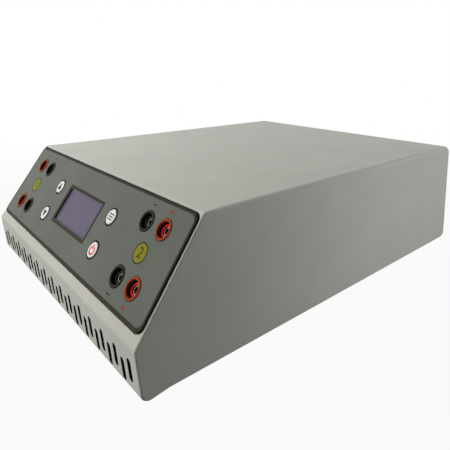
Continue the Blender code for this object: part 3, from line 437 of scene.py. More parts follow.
def rimEntries():  # point on the profile, its outward direction, the side edge's radius there
    entries = []
    blend = Vector((case["blend"], 0))  # over this length behind the front the side edges grow rounder
    for index, radius in enumerate(case["radii"]):
        centre, first, last = arcAt(corners, index, radius)
        sweep = first.angle_signed(last)
        for k in range(case["arcSteps"] + 1):
            out = first.copy()
            out.rotate(Matrix.Rotation(-sweep * k / case["arcSteps"], 2))
            entries.append((centre + out * radius, out, case["sideRadii"][index]))
        if index == 2:  # behind the upper edge of the panel
            entries.append((entries[-1][0] + blend, Vector((0, 1)), case["sideRadii"][3]))
    entries.append((entries[0][0] + blend, Vector((0, -1)), case["sideRadii"][3]))
    return entries


def addShell(work):
    entries = rimEntries()
    rings = []
    for side in (-1, 1):
        turns = quarter(case["sideSteps"])
        for turn in turns if side > 0 else reversed(turns):
            ring = []
            for spot, out, radius in entries:
                x = side * (0.5 * case["width"] - radius * (1.0 - math.sin(turn)))
                flat = spot - out * (radius * (1.0 - math.cos(turn)))
                ring.append(work.verts.new((x, flat.x, flat.y)))
            rings.append(ring)
    bridge(work, rings)
    work.faces.new(rings[0][::-1])
    work.faces.new(rings[-1])


def insetCorners(amounts):  # the profile's corners with each side moved in by its own amount
    lines = []
    for i, amount in enumerate(amounts):
        along = (corners[(i + 1) % len(corners)] - corners[i]).normalized()
        lines.append((corners[i] + Vector((along.y, -along.x)) * amount, along))
    points = []
    for i, (spot, along) in enumerate(lines):
        lastSpot, lastAlong = lines[i - 1]
        turn = lastAlong.x * along.y - lastAlong.y * along.x
        offset = spot - lastSpot
        points.append(lastSpot + lastAlong * ((offset.x * along.y - offset.y * along.x) / turn))
    return points


def frameOf(flat, upFlat):  # x to the right, y up the slope, z out of the surface
    right, up = Vector((1, 0, 0)), Vector((0, upFlat.x, upFlat.y)).normalized()
    turn = Matrix((right, up, right.cross(up))).transposed().to_4x4()
    return Matrix.Translation((0, flat.x, flat.y)) @ turn


def at(place, x, y, z=0.0):  # a place moved along its own axes
    return place @ Matrix.Translation((x, y, z))


panelPlace = frameOf(corners[1], corners[2] - corners[1])
frontPlace = frameOf(corners[1], corners[1] - corners[0])
bottomZ = case["footHeight"]
rear = {"recess": 0.005, "thick": 0.0015, "border": 0.008, "lip": 0.003, "lipThick": 0.0027,
        "corner": 0.004, "punch": 0.0005, "edge": 0.0002}
rearTurn = Matrix(((-1, 0, 0, 0), (0, 0, 1, 0), (0, 1, 0, 0), (0, 0, 0, 1)))
rearPlace = Matrix.Translation((0, corners[3].x - rear["recess"], bottomZ + 0.5 * case["height"])) @ rearTurn
sideways = Matrix(((0, 0, 1, 0), (1, 0, 0, 0), (0, 1, 0, 0), (0, 0, 0, 1)))
base = {"inset": 0.010, "lap": 0.004, "thick": 0.0015, "corner": 0.006}
overlay = {"rim": 0.0016, "start": 0.0070, "height": 0.0687, "thick": 0.0013, "proud": 0.0006,
           "corner": 0.0055, "groove": 0.0005, "film": 0.0002, "side": 0.0011, "top": 0.0008,
           "border": 0.0023, "cornerLoss": 0.4, "ink": 0.00004, "edge": 0.00018, "softenShare": 0.3}
display = {"up": 0.0409, "width": 0.0576, "height": 0.0266, "corner": 0.0012, "lap": 0.0022,
           "frameWidth": 0.0626, "frameHeight": 0.0315}
keys = {"side": 0.0476, "rows": (0.0266, 0.0503), "radius": 0.0052, "proud": 0.0006, "round": 0.0005,
        "lip": 0.0010, "lipThick": 0.0010, "stem": 0.0016, "stemLong": 0.0023, "ring": 0.0066}
sockets = {"side": 0.1057, "pitch": 0.01905, "rows": (0.0233, 0.0589), "flange": 0.00675, "proud": 0.0005,
           "round": 0.0003, "barrel": 0.0059, "bore": 0.0051, "deep": 0.0140, "long": 0.0180,
           "tube": 0.0041, "recess": 0.0025, "shadeLining": 0.0014, "shadeLiningThick": 0.0002, "contact": 0.00245,
           "contactBore": 0.00205, "sunk": 0.0010, "contactDeep": 0.0200, "contactLong": 0.0250}
slots = {"count": 30, "pitch": 0.0084, "width": 0.0042, "length": 0.0142, "high": 0.0155,
         "stagger": 0.0041, "wall": 0.0010, "margin": 0.0005, "roundShare": 0.499}
overlayWidth = case["width"] - 2 * overlay["rim"]
overlayMiddle = overlay["start"] + 0.5 * overlay["height"]
overlayLow = overlay["proud"] - overlay["thick"]
overlayPlace, displayPlace = (at(panelPlace, 0, up) for up in (overlayMiddle, display["up"]))
recessDeep = gap - overlayLow
keySpots = [(s * keys["side"], row) for s in (-1, 1) for row in keys["rows"]]
socketSpots = []
for row in sockets["rows"]:
    for s in (-1, 1):
        socketSpots += [(s * sockets["side"], row, "red"),
                        (s * (sockets["side"] - sockets["pitch"]), row, "black")]


def startTree(name, *inputs):  # a tree that takes a mesh, the named inputs and a material
    tree = bpy.data.node_groups.new(name, "GeometryNodeTree")
    for label, kind in (("Geometry", "Geometry"), *inputs, ("Material", "Material")):
        tree.interface.new_socket(label, in_out="INPUT", socket_type="NodeSocket" + kind)
    tree.interface.new_socket("Geometry", in_out="OUTPUT", socket_type="NodeSocketGeometry")
    return tree, addNode(tree, "NodeGroupInput").outputs


def endTree(tree, shape, material):  # gives the copies out as real mesh
    real = addNode(tree, "GeometryNodeRealizeInstances", links={"Geometry": shape})
    painted = addNode(tree, "GeometryNodeSetMaterial", links={"Geometry": real, "Material": material})
    addNode(tree, "NodeGroupOutput", links={"Geometry": painted})
    return tree


# geometry nodes: one shape repeated along a line, every second one set back
def lineTree():
    tree, given = startTree("repeat_on_a_line", ("Count", "Int"), ("Pitch", "Float"), ("Stagger", "Float"))
    step = addNode(tree, "ShaderNodeCombineXYZ", links={"X": given["Pitch"]})
    line = addNode(tree, "GeometryNodeMeshLine", links={"Count": given["Count"], "Offset": step})
    index = addNode(tree, "GeometryNodeInputIndex")
    odd = addNode(tree, "ShaderNodeMath", {"operation": "MODULO"}, values={1: 2.0}, links={0: index})
    rise = addNode(tree, "ShaderNodeMath", {"operation": "MULTIPLY"}, links={0: odd, 1: given["Stagger"]})
    shift = addNode(tree, "ShaderNodeCombineXYZ", links={"Y": rise})
    placed = addNode(tree, "GeometryNodeSetPosition", links={"Geometry": line, "Offset": shift})
    copies = addNode(tree, "GeometryNodeInstanceOnPoints",
                     links={"Points": placed, "Instance": given["Geometry"]})
    return endTree(tree, copies, given["Material"])


# geometry nodes: one screw on each point of a grid, each turned by chance
def gridTree():
    tree, given = startTree("screws_on_a_grid", ("Size X", "Float"), ("Size Y", "Float"),
                            ("Count X", "Int"), ("Count Y", "Int"), ("Seed", "Int"))
    grid = addNode(tree, "GeometryNodeMeshGrid",
                   links={"Size X": given["Size X"], "Size Y": given["Size Y"],
                          "Vertices X": given["Count X"], "Vertices Y": given["Count Y"]})
    chance = addNode(tree, "FunctionNodeRandomValue", {"data_type": "FLOAT"}, links={"Seed": given["Seed"]})
    chance.inputs[3].default_value = math.pi
    turn = addNode(tree, "ShaderNodeCombineXYZ", links={"Z": chance.outputs[1]})
    copies = addNode(tree, "GeometryNodeInstanceOnPoints",
                     links={"Points": grid, "Instance": given["Geometry"], "Rotation": turn})
    return endTree(tree, copies, given["Material"])


def runTree(piece, tree, values, place):  # sets the named inputs, keeps the result as a plain mesh
    change = piece.modifiers.new("repeat", "NODES")
    change.node_group = tree
    for entry in tree.interface.items_tree:
        if entry.in_out == "INPUT" and entry.name in values:
            change[entry.identifier] = values[entry.name]
    bake(piece)
    piece.data.transform(place)


lineMaker, gridMaker = lineTree(), gridTree()

# case shell and its openings
# the inside faces of the case and the vent slots' walls take a near-black finish that paints their shade
shellPaint, shadePaint = finish["abs_moulded_warm_grey"], finish["case_inside_painted_shade"]
work = bmesh.new()
addShell(work)
shell = makePiece(work, "case_shell", shellPaint)
rearFrame = rear["recess"] + rear["thick"] + gap + rear["lipThick"]
hollow = insetCorners((case["wall"], case["panelWall"], case["wall"], rearFrame, case["floorWall"]))
innerHalf = 0.5 * case["width"] - case["wall"]
cutPrism(shell, shadePaint, [(p.x, p.y) for p in hollow], -innerHalf, innerHalf, sideways)
baseWidth, baseDepth = case["width"] - 2 * base["inset"], case["depth"] - 2 * base["inset"]
basePlace = Matrix.Translation((0, 0.5 * (corners[0].x + corners[4].x), 0))
rearWidth, rearHeight = case["width"] - 2 * rear["border"], case["height"] - 2 * rear["border"]
baseSize, rearSize = (baseWidth, baseDepth, base["corner"]), (rearWidth, rearHeight, rear["corner"])
overlaySize = (overlayWidth, overlay["height"], overlay["corner"])
openings = ((baseSize, 0.0, bottomZ - over, bottomZ + base["thick"] + gap, basePlace),
            (baseSize, -base["lap"], bottomZ - over, bottomZ + case["floorWall"] + over, basePlace),
            (rearSize, 0.0, -rear["thick"] - gap, rear["recess"] + over, rearPlace),
            (rearSize, -rear["lip"], -rearFrame - over, over, rearPlace),
            (overlaySize, overlay["groove"], -recessDeep, over, overlayPlace))
for size, grow, low, high, place in openings:
    cutPrism(shell, shellPaint, roundedRect(*size, grow=grow), low, high, place)


def addPanelHoles(work, low, high, socketHole):
    for x, up in keySpots:
        addPrism(work, circle(keys["radius"] + gap), low, high, at(panelPlace, x, up))
    for x, up, _ in socketSpots:
        addPrism(work, circle(socketHole), low, high, at(panelPlace, x, up))


plateWidth, plateHeight = display["width"] + 2 * display["lap"], display["height"] + 2 * display["lap"]
work = bmesh.new()
addPanelHoles(work, -case["panelWall"] - over, over, sockets["barrel"] + gap)
addPrism(work, roundedRect(plateWidth, plateHeight, display["corner"], grow=gap),
         -case["panelWall"] - over, over, displayPlace)
cutWith(shell, makePiece(work, "tool", shellPaint))

zoneWidth = (slots["count"] - 1) * slots["pitch"] + slots["width"] + 2 * slots["margin"]
zoneHeight = slots["length"] + slots["stagger"] + 2 * slots["margin"]
# the thinned zone behind the slots and the slots themselves are cut in the near-black painted-shade finish
cutPrism(shell, shadePaint, roundedRect(zoneWidth, zoneHeight, slots["width"]), -case["wall"] - over,
         -slots["wall"], at(frontPlace, 0, -slots["high"] - 0.5 * slots["stagger"]))
slotOutline = roundedRect(slots["width"], slots["length"], slots["roundShare"] * slots["width"])
slotTool = prismPiece("tool", shadePaint, slotOutline, -case["wall"] - over, over, Matrix.Identity(4))
firstSlot = at(frontPlace, -0.5 * (slots["count"] - 1) * slots["pitch"], -slots["high"] - slots["stagger"])
runTree(slotTool, lineMaker, {"Count": slots["count"], "Pitch": slots["pitch"], "Stagger": slots["stagger"],
                              "Material": shadePaint}, firstSlot)
cutWith(shell, slotTool)
settle(shell, "chassis", "housing_plastic", "housing")
print("case shell:", len(shell.data.polygons), "faces")

# overlay: a black backing plate that shows at the top and sides as a painted shade strip, and the film on it
# with its printed marks
filmPlace = at(panelPlace, 0, overlayMiddle - 0.5 * overlay["top"])
filmLow = overlay["proud"] - overlay["film"]
filmSize = (overlayWidth - 2 * overlay["side"], overlay["height"] - overlay["top"], overlay["corner"])
displaySize = (display["width"], display["height"], display["corner"])
layers = (("overlay_plate", "laminate_black_painted_shade", overlaySize, overlayPlace, overlayLow, filmLow,
           ("panel_overlay",)),
          ("overlay_sheet", "polycarbonate_film_grey_green", filmSize, filmPlace, filmLow, overlay["proud"],
           ()))
for name, look, size, place, low, high, replaced in layers:
    plate = prismPiece(name, finish[look], roundedRect(*size), low, high, place)
    work = bmesh.new()
    addPanelHoles(work, -case["panelWall"], over, sockets["flange"] + gap)
    cutWith(plate, makePiece(work, "tool", finish[look]))
    cutPrism(plate, finish["laminate_sawn_brown"], roundedRect(*displaySize), -over, over, displayPlace)
    softenEdges(plate, overlay["softenShare"] * overlay["film"], degrees=60.0)
    settle(plate, "chassis", "overlay_film", *replaced)


def settleInk(work, name, tint, body="chassis", slotName="overlay_film"):
    settle(makePiece(work, name, finish["screen_ink_" + tint]), body, slotName)


inkLow, inkHigh = overlay["proud"] - 0.5 * overlay["ink"], overlay["proud"] + overlay["ink"]
work = bmesh.new()
outer = [(a, b - 0.5 * overlay["top"]) for a, b in roundedRect(*filmSize)]
innerCorner = overlay["corner"] - overlay["cornerLoss"] * overlay["border"]
inner = roundedRect(overlayWidth, overlay["height"], innerCorner, grow=-overlay["border"])
addRing(work, outer, inner, inkLow, inkHigh, overlayPlace)
addRing(work, roundedRect(display["frameWidth"], display["frameHeight"], display["corner"]),
        roundedRect(*displaySize, grow=overlay["edge"]), inkLow, inkHigh, displayPlace)
settleInk(work, "border_ink", "dark_brown")
work = bmesh.new()
# a black ring round each key, partly print and partly painted shade of the gap round the key
ringInner = circle(keys["radius"] + gap + 0.5 * overlay["edge"])
for x, up in keySpots:
    addRing(work, circle(keys["ring"]), ringInner, inkLow, inkHigh, at(panelPlace, x, up))
settleInk(work, "key_ring_ink_and_shade", "black")

# plus above or below each red socket, minus at each black one, away from the panel's middle
signs = {"long": 0.0038, "wide": 0.0007, "away": 0.0107}
half, thin = 0.5 * signs["long"], 0.5 * signs["wide"]
minus = [(-half, -thin), (half, -thin), (half, thin), (-half, thin)]
plus = [(-half, -thin), (-thin, -thin), (-thin, -half), (thin, -half), (thin, -thin), (half, -thin),
        (half, thin), (thin, thin), (thin, half), (-thin, half), (-thin, thin), (-half, thin)]
for colour, outline in (("red", plus), ("black", minus)):
    work = bmesh.new()
    for x, up, socketColour in socketSpots:
        if socketColour == colour:
            away = signs["away"] if up > overlayMiddle else -signs["away"]
            addPrism(work, outline, inkLow, inkHigh, at(panelPlace, x, up + away))
    settleInk(work, "sign_ink_" + colour, colour)


def addText(work, letters, size, low, high, matrix):
    flat = bpy.data.curves.new("letters", "FONT")
    flat.body = letters
    flat.size = size
    flat.align_x = flat.align_y = "CENTER"
    flat.extrude = 0.5 * (high - low)
    holder = bpy.data.objects.new("letters", flat)
    scene.collection.objects.link(holder)
    graph = bpy.context.evaluated_depsgraph_get()
    mesh = bpy.data.meshes.new_from_object(holder.evaluated_get(graph))
    mesh.transform(matrix @ Matrix.Translation((0, 0, 0.5 * (low + high))))
    work.from_mesh(mesh)
    bpy.data.objects.remove(holder, do_unlink=True)


# a plain number beside each group of sockets, on a round field
marks = {"side": 0.0962, "up": 0.0412, "radius": 0.0066, "rim": 0.0009, "size": 0.0095}
rimWork, fieldWork, numberWork = bmesh.new(), bmesh.new(), bmesh.new()
for letters, side in (("1", -1), ("2", 1)):
    place = at(panelPlace, side * marks["side"], marks["up"])
    field = circle(marks["radius"] - marks["rim"])
    addRing(rimWork, circle(marks["radius"]), field, inkLow, inkHigh, place)
    addPrism(fieldWork, field, inkLow, inkHigh, place)
    addText(numberWork, letters, marks["size"], inkHigh - 0.5 * overlay["ink"], inkHigh + overlay["ink"],
            place)
settleInk(rimWork, "number_rim_ink", "dark_brown")
settleInk(fieldWork, "number_field_ink", "olive_yellow")
settleInk(numberWork, "number_ink", "dark_brown")
print("overlay and its marks made")

# keys: turned caps, each with a printed sign of its own
lipTop = -case["panelWall"] - gap
lipLow = lipTop - keys["lipThick"]
keyTop = overlay["proud"] + keys["proud"]
crown = rolled(keys["radius"] - keys["round"], keyTop - keys["round"], keys["round"], 1, -1)
keyProfile = [(0.0, keyTop)] + crown + [
    (keys["radius"], lipTop), (keys["radius"] + keys["lip"], lipTop), (keys["radius"] + keys["lip"], lipLow),
    (keys["stem"], lipLow), (keys["stem"], lipLow - keys["stemLong"]), (0.0, lipLow - keys["stemLong"])]
keySign = {"arrow": ((-0.0026, -0.0022), (0.0026, -0.0022), (0.0, 0.0032)), "bar": (0.0062, 0.0008),
           "barStep": 0.0018, "corner": 0.0002, "bow": 0.0033, "bowInner": 0.66, "bowStart": 125.0,
           "bowSweep": 290.0, "bowSteps": 40, "bowDown": 0.0003, "upright": (0.0010, 0.0032),
           "uprightUp": 0.0020}
keyTints = {"key_down": "black", "key_up": "black", "key_bottom_right": "bright_red", "key_top_right": "grey"}
keyInk = (keyTop - 0.5 * overlay["ink"], keyTop + overlay["ink"])
for (x, up), (name, tint) in zip(keySpots, keyTints.items()):
    place = at(panelPlace, x, up)
    cap = turnedPiece(name + "_cap", finish["abs_key_white"], keyProfile, sides["usual"], place)
    settle(cap, name + "_body", "key_plastic", name)
    work = bmesh.new()
    if name == "key_up":
        addPrism(work, keySign["arrow"], *keyInk, place)
    elif name == "key_down":
        addPrism(work, keySign["arrow"], *keyInk, place @ Matrix.Rotation(math.pi, 4, "Z"))
    elif name == "key_top_right":  # three short bars, a plain list sign
        bar = roundedRect(*keySign["bar"], keySign["corner"], steps=2)
        for lift in (-keySign["barStep"], 0.0, keySign["barStep"]):
            addPrism(work, bar, *keyInk, at(place, 0, lift))
    else:  # a broken ring with an upright, the plain start and stop sign
        part = keySign["bowSweep"] / keySign["bowSteps"]
        turns = [math.radians(keySign["bowStart"] + part * k) for k in range(keySign["bowSteps"] + 1)]
        bow = [(keySign["bow"] * math.cos(t), keySign["bow"] * math.sin(t)) for t in turns]
        bow += [(keySign["bowInner"] * a, keySign["bowInner"] * b) for a, b in bow[::-1]]
        addPrism(work, bow, *keyInk, at(place, 0, -keySign["bowDown"]))
        upright = roundedRect(*keySign["upright"], keySign["corner"], steps=2)
        addPrism(work, upright, *keyInk, at(place, 0, keySign["uprightUp"]))
    settleInk(work, name + "_sign", tint, name + "_body", "key_plastic")
print("keys made")

# sockets: flange let into the overlay, deep shroud, inner sleeve and plated contact
flangeSeat = gap - recessDeep
flangeTop = overlay["proud"] + sockets["proud"]
tubeTop = flangeTop - sockets["recess"]
tubeBore = sockets["contact"] + gap
contactTop = tubeTop - sockets["sunk"]
roll = sockets["round"]
barrelEnd = flangeTop - sockets["long"]
collarTop = flangeTop - sockets["deep"]
barrelProfile = ([(sockets["bore"], barrelEnd), (sockets["barrel"], barrelEnd),
                  (sockets["barrel"], flangeSeat), (sockets["flange"], flangeSeat)]
                 + rolled(sockets["flange"] - roll, flangeTop - roll, roll, 0, steps=5)
                 + rolled(sockets["bore"] + roll, flangeTop - roll, roll, 1, steps=5))
collar = sockets["bore"] - gap
sleeveProfile = ([(tubeBore, barrelEnd), (collar, barrelEnd), (collar, collarTop),
                  (sockets["tube"], collarTop)]
                 + rolled(sockets["tube"] - roll, tubeTop - roll, roll, 0, steps=5) + [(tubeBore, tubeTop)])
contactEnd, contactFloor = contactTop - sockets["contactLong"], contactTop - sockets["contactDeep"]
contactProfile = [(0.0, contactEnd), (sockets["contact"], contactEnd), (sockets["contact"], contactTop),
                  (sockets["contactBore"], contactTop), (sockets["contactBore"], contactFloor),
                  (0.0, contactFloor)]
socketShapes = (("socket_barrel_", barrelProfile, sides["usual"], "socket_"),
                ("socket_inner_", sleeveProfile, sides["small"], "socket_sleeve_"))
socketLooks = {"red": (("nylon_moulded_brick_red", "red_plastic"), ("nylon_turned_red", "red_sleeve")),
               "black": (("nylon_moulded_black", "black_plastic"), ("nylon_moulded_black", "black_plastic"))}
for number, (x, up, colour) in enumerate(socketSpots, 1):
    place = at(panelPlace, x, up)
    for (kind, profile, segments, node), (look, slotName) in zip(socketShapes, socketLooks[colour]):
        made = turnedPiece(kind + str(number), finish[look], profile, segments, place, True)
        settle(made, "chassis", slotName, node + str(number))
    work = bmesh.new()
    addTurned(work, contactProfile, sides["small"], place, False)
    for face in work.faces:  # the second material inside the bore
        away = (place.inverted() @ face.calc_center_median()).xy.length
        face.material_index = away < sockets["contactBore"]
    made = makePiece(work, "socket_contact_" + str(number), finish["tin_plate_dull"])
    # the faces inside the contact's bore take the near-black painted-shade finish
    made.data.materials.append(finish["tin_plate_painted_shade"])
    settle(made, "chassis", "contact_metal", "contact_" + str(number))
# black linings in the red sockets, painted shade deep in the bore and inside the sleeve round the contact
work = bmesh.new()
thick = sockets["shadeLiningThick"]
for radius, foot, top in ((sockets["bore"], collarTop + gap, flangeTop - sockets["shadeLining"]),
                          (tubeBore, contactTop - gap, tubeTop - thick)):
    shadeLining = [(radius - thick, foot), (radius, foot), (radius, top), (radius - thick, top - thick)]
    for x, up, colour in socketSpots:
        if colour == "red":
            addTurned(work, shadeLining, sides["small"], at(panelPlace, x, up), True)
settle(makePiece(work, "socket_painted_shade_linings", finish["nylon_moulded_black"]), "chassis", "black_plastic")
print("sockets made")

# rear sheet with its punched openings
inlet = {"x": 0.070, "width": 0.031, "height": 0.038, "corner": 0.0025, "flange": 0.0022, "ledge": 0.0018,
         "deep": 0.024, "mouth": (0.0246, 0.0170), "chamfer": 0.0050, "mouthDeep": 0.0155, "mouthUp": 0.0068,
         "pin": (0.0020, 0.0040), "pinCorner": 0.0004, "pinEdge": 0.0003, "pinPitch": 0.0070,
         "pinShift": 0.0020, "pinShort": 0.0025, "edge": 0.0004}
power = {"x": 0.104, "width": 0.0150, "height": 0.0210, "corner": 0.0012, "flange": 0.0020, "ledge": 0.0012,
         "rim": 0.0020, "deep": 0.0160, "pocket": 0.0090, "pocketCorner": 0.0003, "edge": 0.0004}
fan = {"x": -0.055, "size": 0.060, "deep": 0.015, "corner": 0.004, "bore": 0.0285, "tipGap": 0.0019,
       "hub": 0.0130, "hubBack": 0.0030, "dome": 0.0010, "strut": 0.0040, "strutCorner": 0.0002,
       "holePitch": 0.050, "edge": 0.0004}
inletPlace, powerPlace, fanPlace = (at(rearPlace, item["x"], 0) for item in (inlet, power, fan))
black, nickel, zinc = (finish[name] for name in ("phenolic_moulded_black", "nickel_plate_bright",
                                                 "steel_zinc_rolled"))


def neckOutline(item, play):  # the opening in the sheet, or what passes through it with some play
    return roundedRect(item["width"] - 2 * item["ledge"] - 2 * play,
                       item["height"] - 2 * item["ledge"] - 2 * play, rear["punch"], steps=3)


sheet = prismPiece("rear_sheet", finish["steel_powder_coat_grey"], roundedRect(*rearSize, grow=-gap),
                   -rear["thick"], 0, rearPlace)
work = bmesh.new()
through = (-rear["thick"] - over, over)
for item, place in ((inlet, inletPlace), (power, powerPlace)):
    addPrism(work, neckOutline(item, 0.0), *through, place)
addPrism(work, circle(fan["bore"] - fan["tipGap"], sides["wide"]), *through, fanPlace)
cutWith(sheet, makePiece(work, "tool", black))
softenEdges(sheet, rear["edge"], degrees=60.0)
settle(sheet, "chassis", "rear_paint", "rear_panel")


def flangedBody(name, item, place):  # a flange on the sheet and a body that passes through it
    top = gap + item["flange"]
    flange = roundedRect(item["width"], item["height"], item["corner"])
    made = prismPiece(name, black, flange, gap, top, place)
    cutPrism(made, black, neckOutline(item, gap), -item["deep"], 0.5 * top, place, "UNION")
    return made, top


# power inlet: a mouth with two cut corners, plated blades, and a slot for the drawer
inletBody, inletTop = flangedBody("inlet_body", inlet, inletPlace)
mouthX, mouthY = (0.5 * size for size in inlet["mouth"])
cut = inlet["chamfer"]
mouth = [(-mouthX, -mouthY), (mouthX, -mouthY), (mouthX, mouthY - cut), (mouthX - cut, mouthY),
         (cut - mouthX, mouthY), (-mouthX, mouthY - cut)]
mouthFloor = inletTop - inlet["mouthDeep"]
drawer = {"width": 0.0220, "height": 0.0085, "corner": 0.0003, "deep": 0.0180, "endGap": 0.0004,
          "down": 0.0115, "lip": 0.0012, "face": 0.0016, "faceCorner": 0.0008, "notch": (0.0100, 0.0026),
          "notchCorner": 0.0012, "notchDeep": 0.0008, "edge": 0.0004}
work = bmesh.new()
addPrism(work, mouth, mouthFloor, inletTop + over, at(inletPlace, 0, inlet["mouthUp"]))
addPrism(work, roundedRect(drawer["width"], drawer["height"], drawer["corner"], steps=2, grow=gap),
         inletTop - drawer["deep"] - gap, inletTop + over, at(inletPlace, 0, -drawer["down"]))
cutWith(inletBody, makePiece(work, "tool", black))
softenEdges(inletBody, inlet["edge"])
settle(inletBody, "chassis", "black_plastic", "inlet")
work = bmesh.new()
pitch, shift = inlet["pinPitch"], inlet["pinShift"]
pinTop = mouthFloor + inlet["mouthDeep"] - inlet["pinShort"]
for x, down in ((-pitch, shift), (pitch, shift), (0.0, -shift)):
    addPrism(work, roundedRect(*inlet["pin"], inlet["pinCorner"], steps=3), mouthFloor - 0.5 * gap, pinTop,
             at(inletPlace, x, inlet["mouthUp"] - down))
blades = makePiece(work, "inlet_blades", nickel)
softenEdges(blades, inlet["pinEdge"], segments=3)
settle(blades, "chassis", "contact_metal")

# fuse drawer: a face with a finger notch, on a body that slides in the slot
drawerPlace = at(inletPlace, 0, -drawer["down"], inletTop)
drawerTop = gap + drawer["face"]
drawerFace = roundedRect(drawer["width"], drawer["height"], drawer["faceCorner"], steps=4, grow=drawer["lip"])
drawerBody = prismPiece("fuse_drawer_body_shape", black, drawerFace, gap, drawerTop, drawerPlace)
cutPrism(drawerBody, black, roundedRect(drawer["width"], drawer["height"], drawer["corner"], steps=2),
         gap - drawer["deep"] + drawer["endGap"], gap + 0.5 * drawer["face"], drawerPlace, "UNION")
cutPrism(drawerBody, black, roundedRect(*drawer["notch"], drawer["notchCorner"], steps=6),
         drawerTop - drawer["notchDeep"], drawerTop + over, drawerPlace)
softenEdges(drawerBody, drawer["edge"])
settle(drawerBody, "fuse_drawer_body", "black_plastic", "fuse_drawer")

# power switch: bezel, a rocker with a hollow face, and the plain on and off signs
bezel, bezelTop = flangedBody("power_bezel", power, powerPlace)
pocket = (power["width"] - 2 * power["rim"], power["height"] - 2 * power["rim"])
cutPrism(bezel, black, roundedRect(*pocket, power["pocketCorner"], steps=2), bezelTop - power["pocket"],
         bezelTop + over, powerPlace)
softenEdges(bezel, power["edge"])
settle(bezel, "chassis", "black_plastic", "switch_bezel")
rocker = {"proud": 0.0008, "dip": 0.0006, "body": 0.0035, "keel": 0.0020, "taper": 0.0008, "endGap": 0.0009,
          "tilt": 8.0, "edge": 0.0003, "steps": 14}
rockerSign = {"share": 0.55, "bar": (0.0008, 0.0036), "corner": 0.0002, "outer": 0.0019, "inner": 0.0012,
              "layer": (-0.0002, 0.00005)}
half = 0.5 * pocket[1] - rocker["endGap"]
reach, tip = half - rocker["taper"], rocker["body"] + rocker["proud"]
outline = [(-half, 0.0), (0.0, -rocker["keel"]), (half, 0.0)]
for k in range(rocker["steps"] + 1):
    y = reach * (1.0 - 2.0 * k / rocker["steps"])
    outline.append((y, tip - rocker["dip"] * (1.0 - (y / reach) ** 2)))
rockerTurn = Matrix.Rotation(math.radians(-rocker["tilt"]), 4, "X")
rockerPlace = at(powerPlace, 0, 0, bezelTop - rocker["body"]) @ rockerTurn
rockerBody = prismPiece("rocker_cap", black, outline, gap - 0.5 * pocket[0], 0.5 * pocket[0] - gap,
                        rockerPlace @ sideways)
softenEdges(rockerBody, rocker["edge"], segments=3)
settle(rockerBody, "rocker_body", "black_plastic", "rocker")
work = bmesh.new()
signHigh = tip - rocker["dip"] * (1.0 - rockerSign["share"] ** 2)
for side in (-1, 1):
    y = side * rockerSign["share"] * reach
    slope = math.atan(2.0 * rocker["dip"] * y / reach ** 2)
    place = at(rockerPlace, 0, y, signHigh) @ Matrix.Rotation(slope, 4, "X")
    if side > 0:
        bar = roundedRect(*rockerSign["bar"], rockerSign["corner"], steps=2)
        addPrism(work, bar, *rockerSign["layer"], place)
    else:
        outer, inner = (circle(rockerSign[key], sides["small"]) for key in ("outer", "inner"))
        addRing(work, outer, inner, *rockerSign["layer"], place)
settleInk(work, "rocker_sign", "white", "rocker_body", "black_plastic")
print("inlet and switch made")

# fan: frame with round bore, cross struts and motor seat
fanBack = -rear["thick"] - gap
strutMiddle, strutHalf = fanBack - 0.5 * fan["hubBack"], 0.5 * (fan["hubBack"] - gap)
fanFrame = prismPiece("fan_housing", black, roundedRect(fan["size"], fan["size"], fan["corner"]),
                      fanBack - fan["deep"], fanBack, fanPlace)
cutPrism(fanFrame, black, circle(fan["bore"], sides["wide"]), fanBack - fan["deep"] - over, fanBack + over,
         fanPlace)
strutLong = fan["bore"] + 0.5 * fan["size"]
for outline, shrink in ((roundedRect(strutLong, fan["strut"], fan["strutCorner"], steps=2), 0.0),
                        (roundedRect(fan["strut"], strutLong, fan["strutCorner"], steps=2), 0.5 * gap),
                        (circle(fan["hub"]), gap)):
    cutPrism(fanFrame, black, outline, strutMiddle - strutHalf + shrink, strutMiddle + strutHalf - shrink,
             fanPlace, "UNION")
softenEdges(fanFrame, fan["edge"], degrees=50.0)
settle(fanFrame, "chassis", "black_plastic", "fan_frame")

# rotor: a domed hub and swept, twisted blades
blade = {"count": 7, "root": 0.0125, "thick": 0.0012, "height": 0.0066, "pitch": 38.0, "pitchRadius": 0.019,
         "lean": 12.0, "rows": 10, "columns": 8}
hubHigh = fanBack - fan["hubBack"] - gap
hubLow = fanBack - fan["deep"] + gap
tipRadius = fan["bore"] - fan["tipGap"]


def addBlade(work, start):
    layers = []
    pitch = math.radians(blade["pitch"])
    for side in (-0.5, 0.5):
        rows = []
        for i in range(blade["rows"] + 1):
            part = i / blade["rows"]
            radius = blade["root"] + (tipRadius - blade["root"]) * part
            row = []
            for j in range(blade["columns"] + 1):
                rise = blade["height"] * (j / blade["columns"] - 0.5)
                turn = start - rise / math.tan(pitch) / max(radius, blade["pitchRadius"])
                turn += math.radians(blade["lean"]) * part ** 2
                height = 0.5 * (hubLow + hubHigh) + rise + side * blade["thick"]
                spot = Vector((radius * math.cos(turn), radius * math.sin(turn), height))
                row.append(work.verts.new(fanPlace @ spot))
            rows.append(row)
        layers.append(rows)
    low, high = layers
    last, end = blade["rows"], blade["columns"]
    for i in range(last):
        for j in range(end):
            for rows in layers:
                work.faces.new((rows[i][j], rows[i + 1][j], rows[i + 1][j + 1], rows[i][j + 1]))
        for j in (0, end):
            work.faces.new((low[i][j], low[i + 1][j], high[i + 1][j], high[i][j]))
    for i in (0, last):
        for j in range(end):
            work.faces.new((low[i][j], low[i][j + 1], high[i][j + 1], high[i][j]))


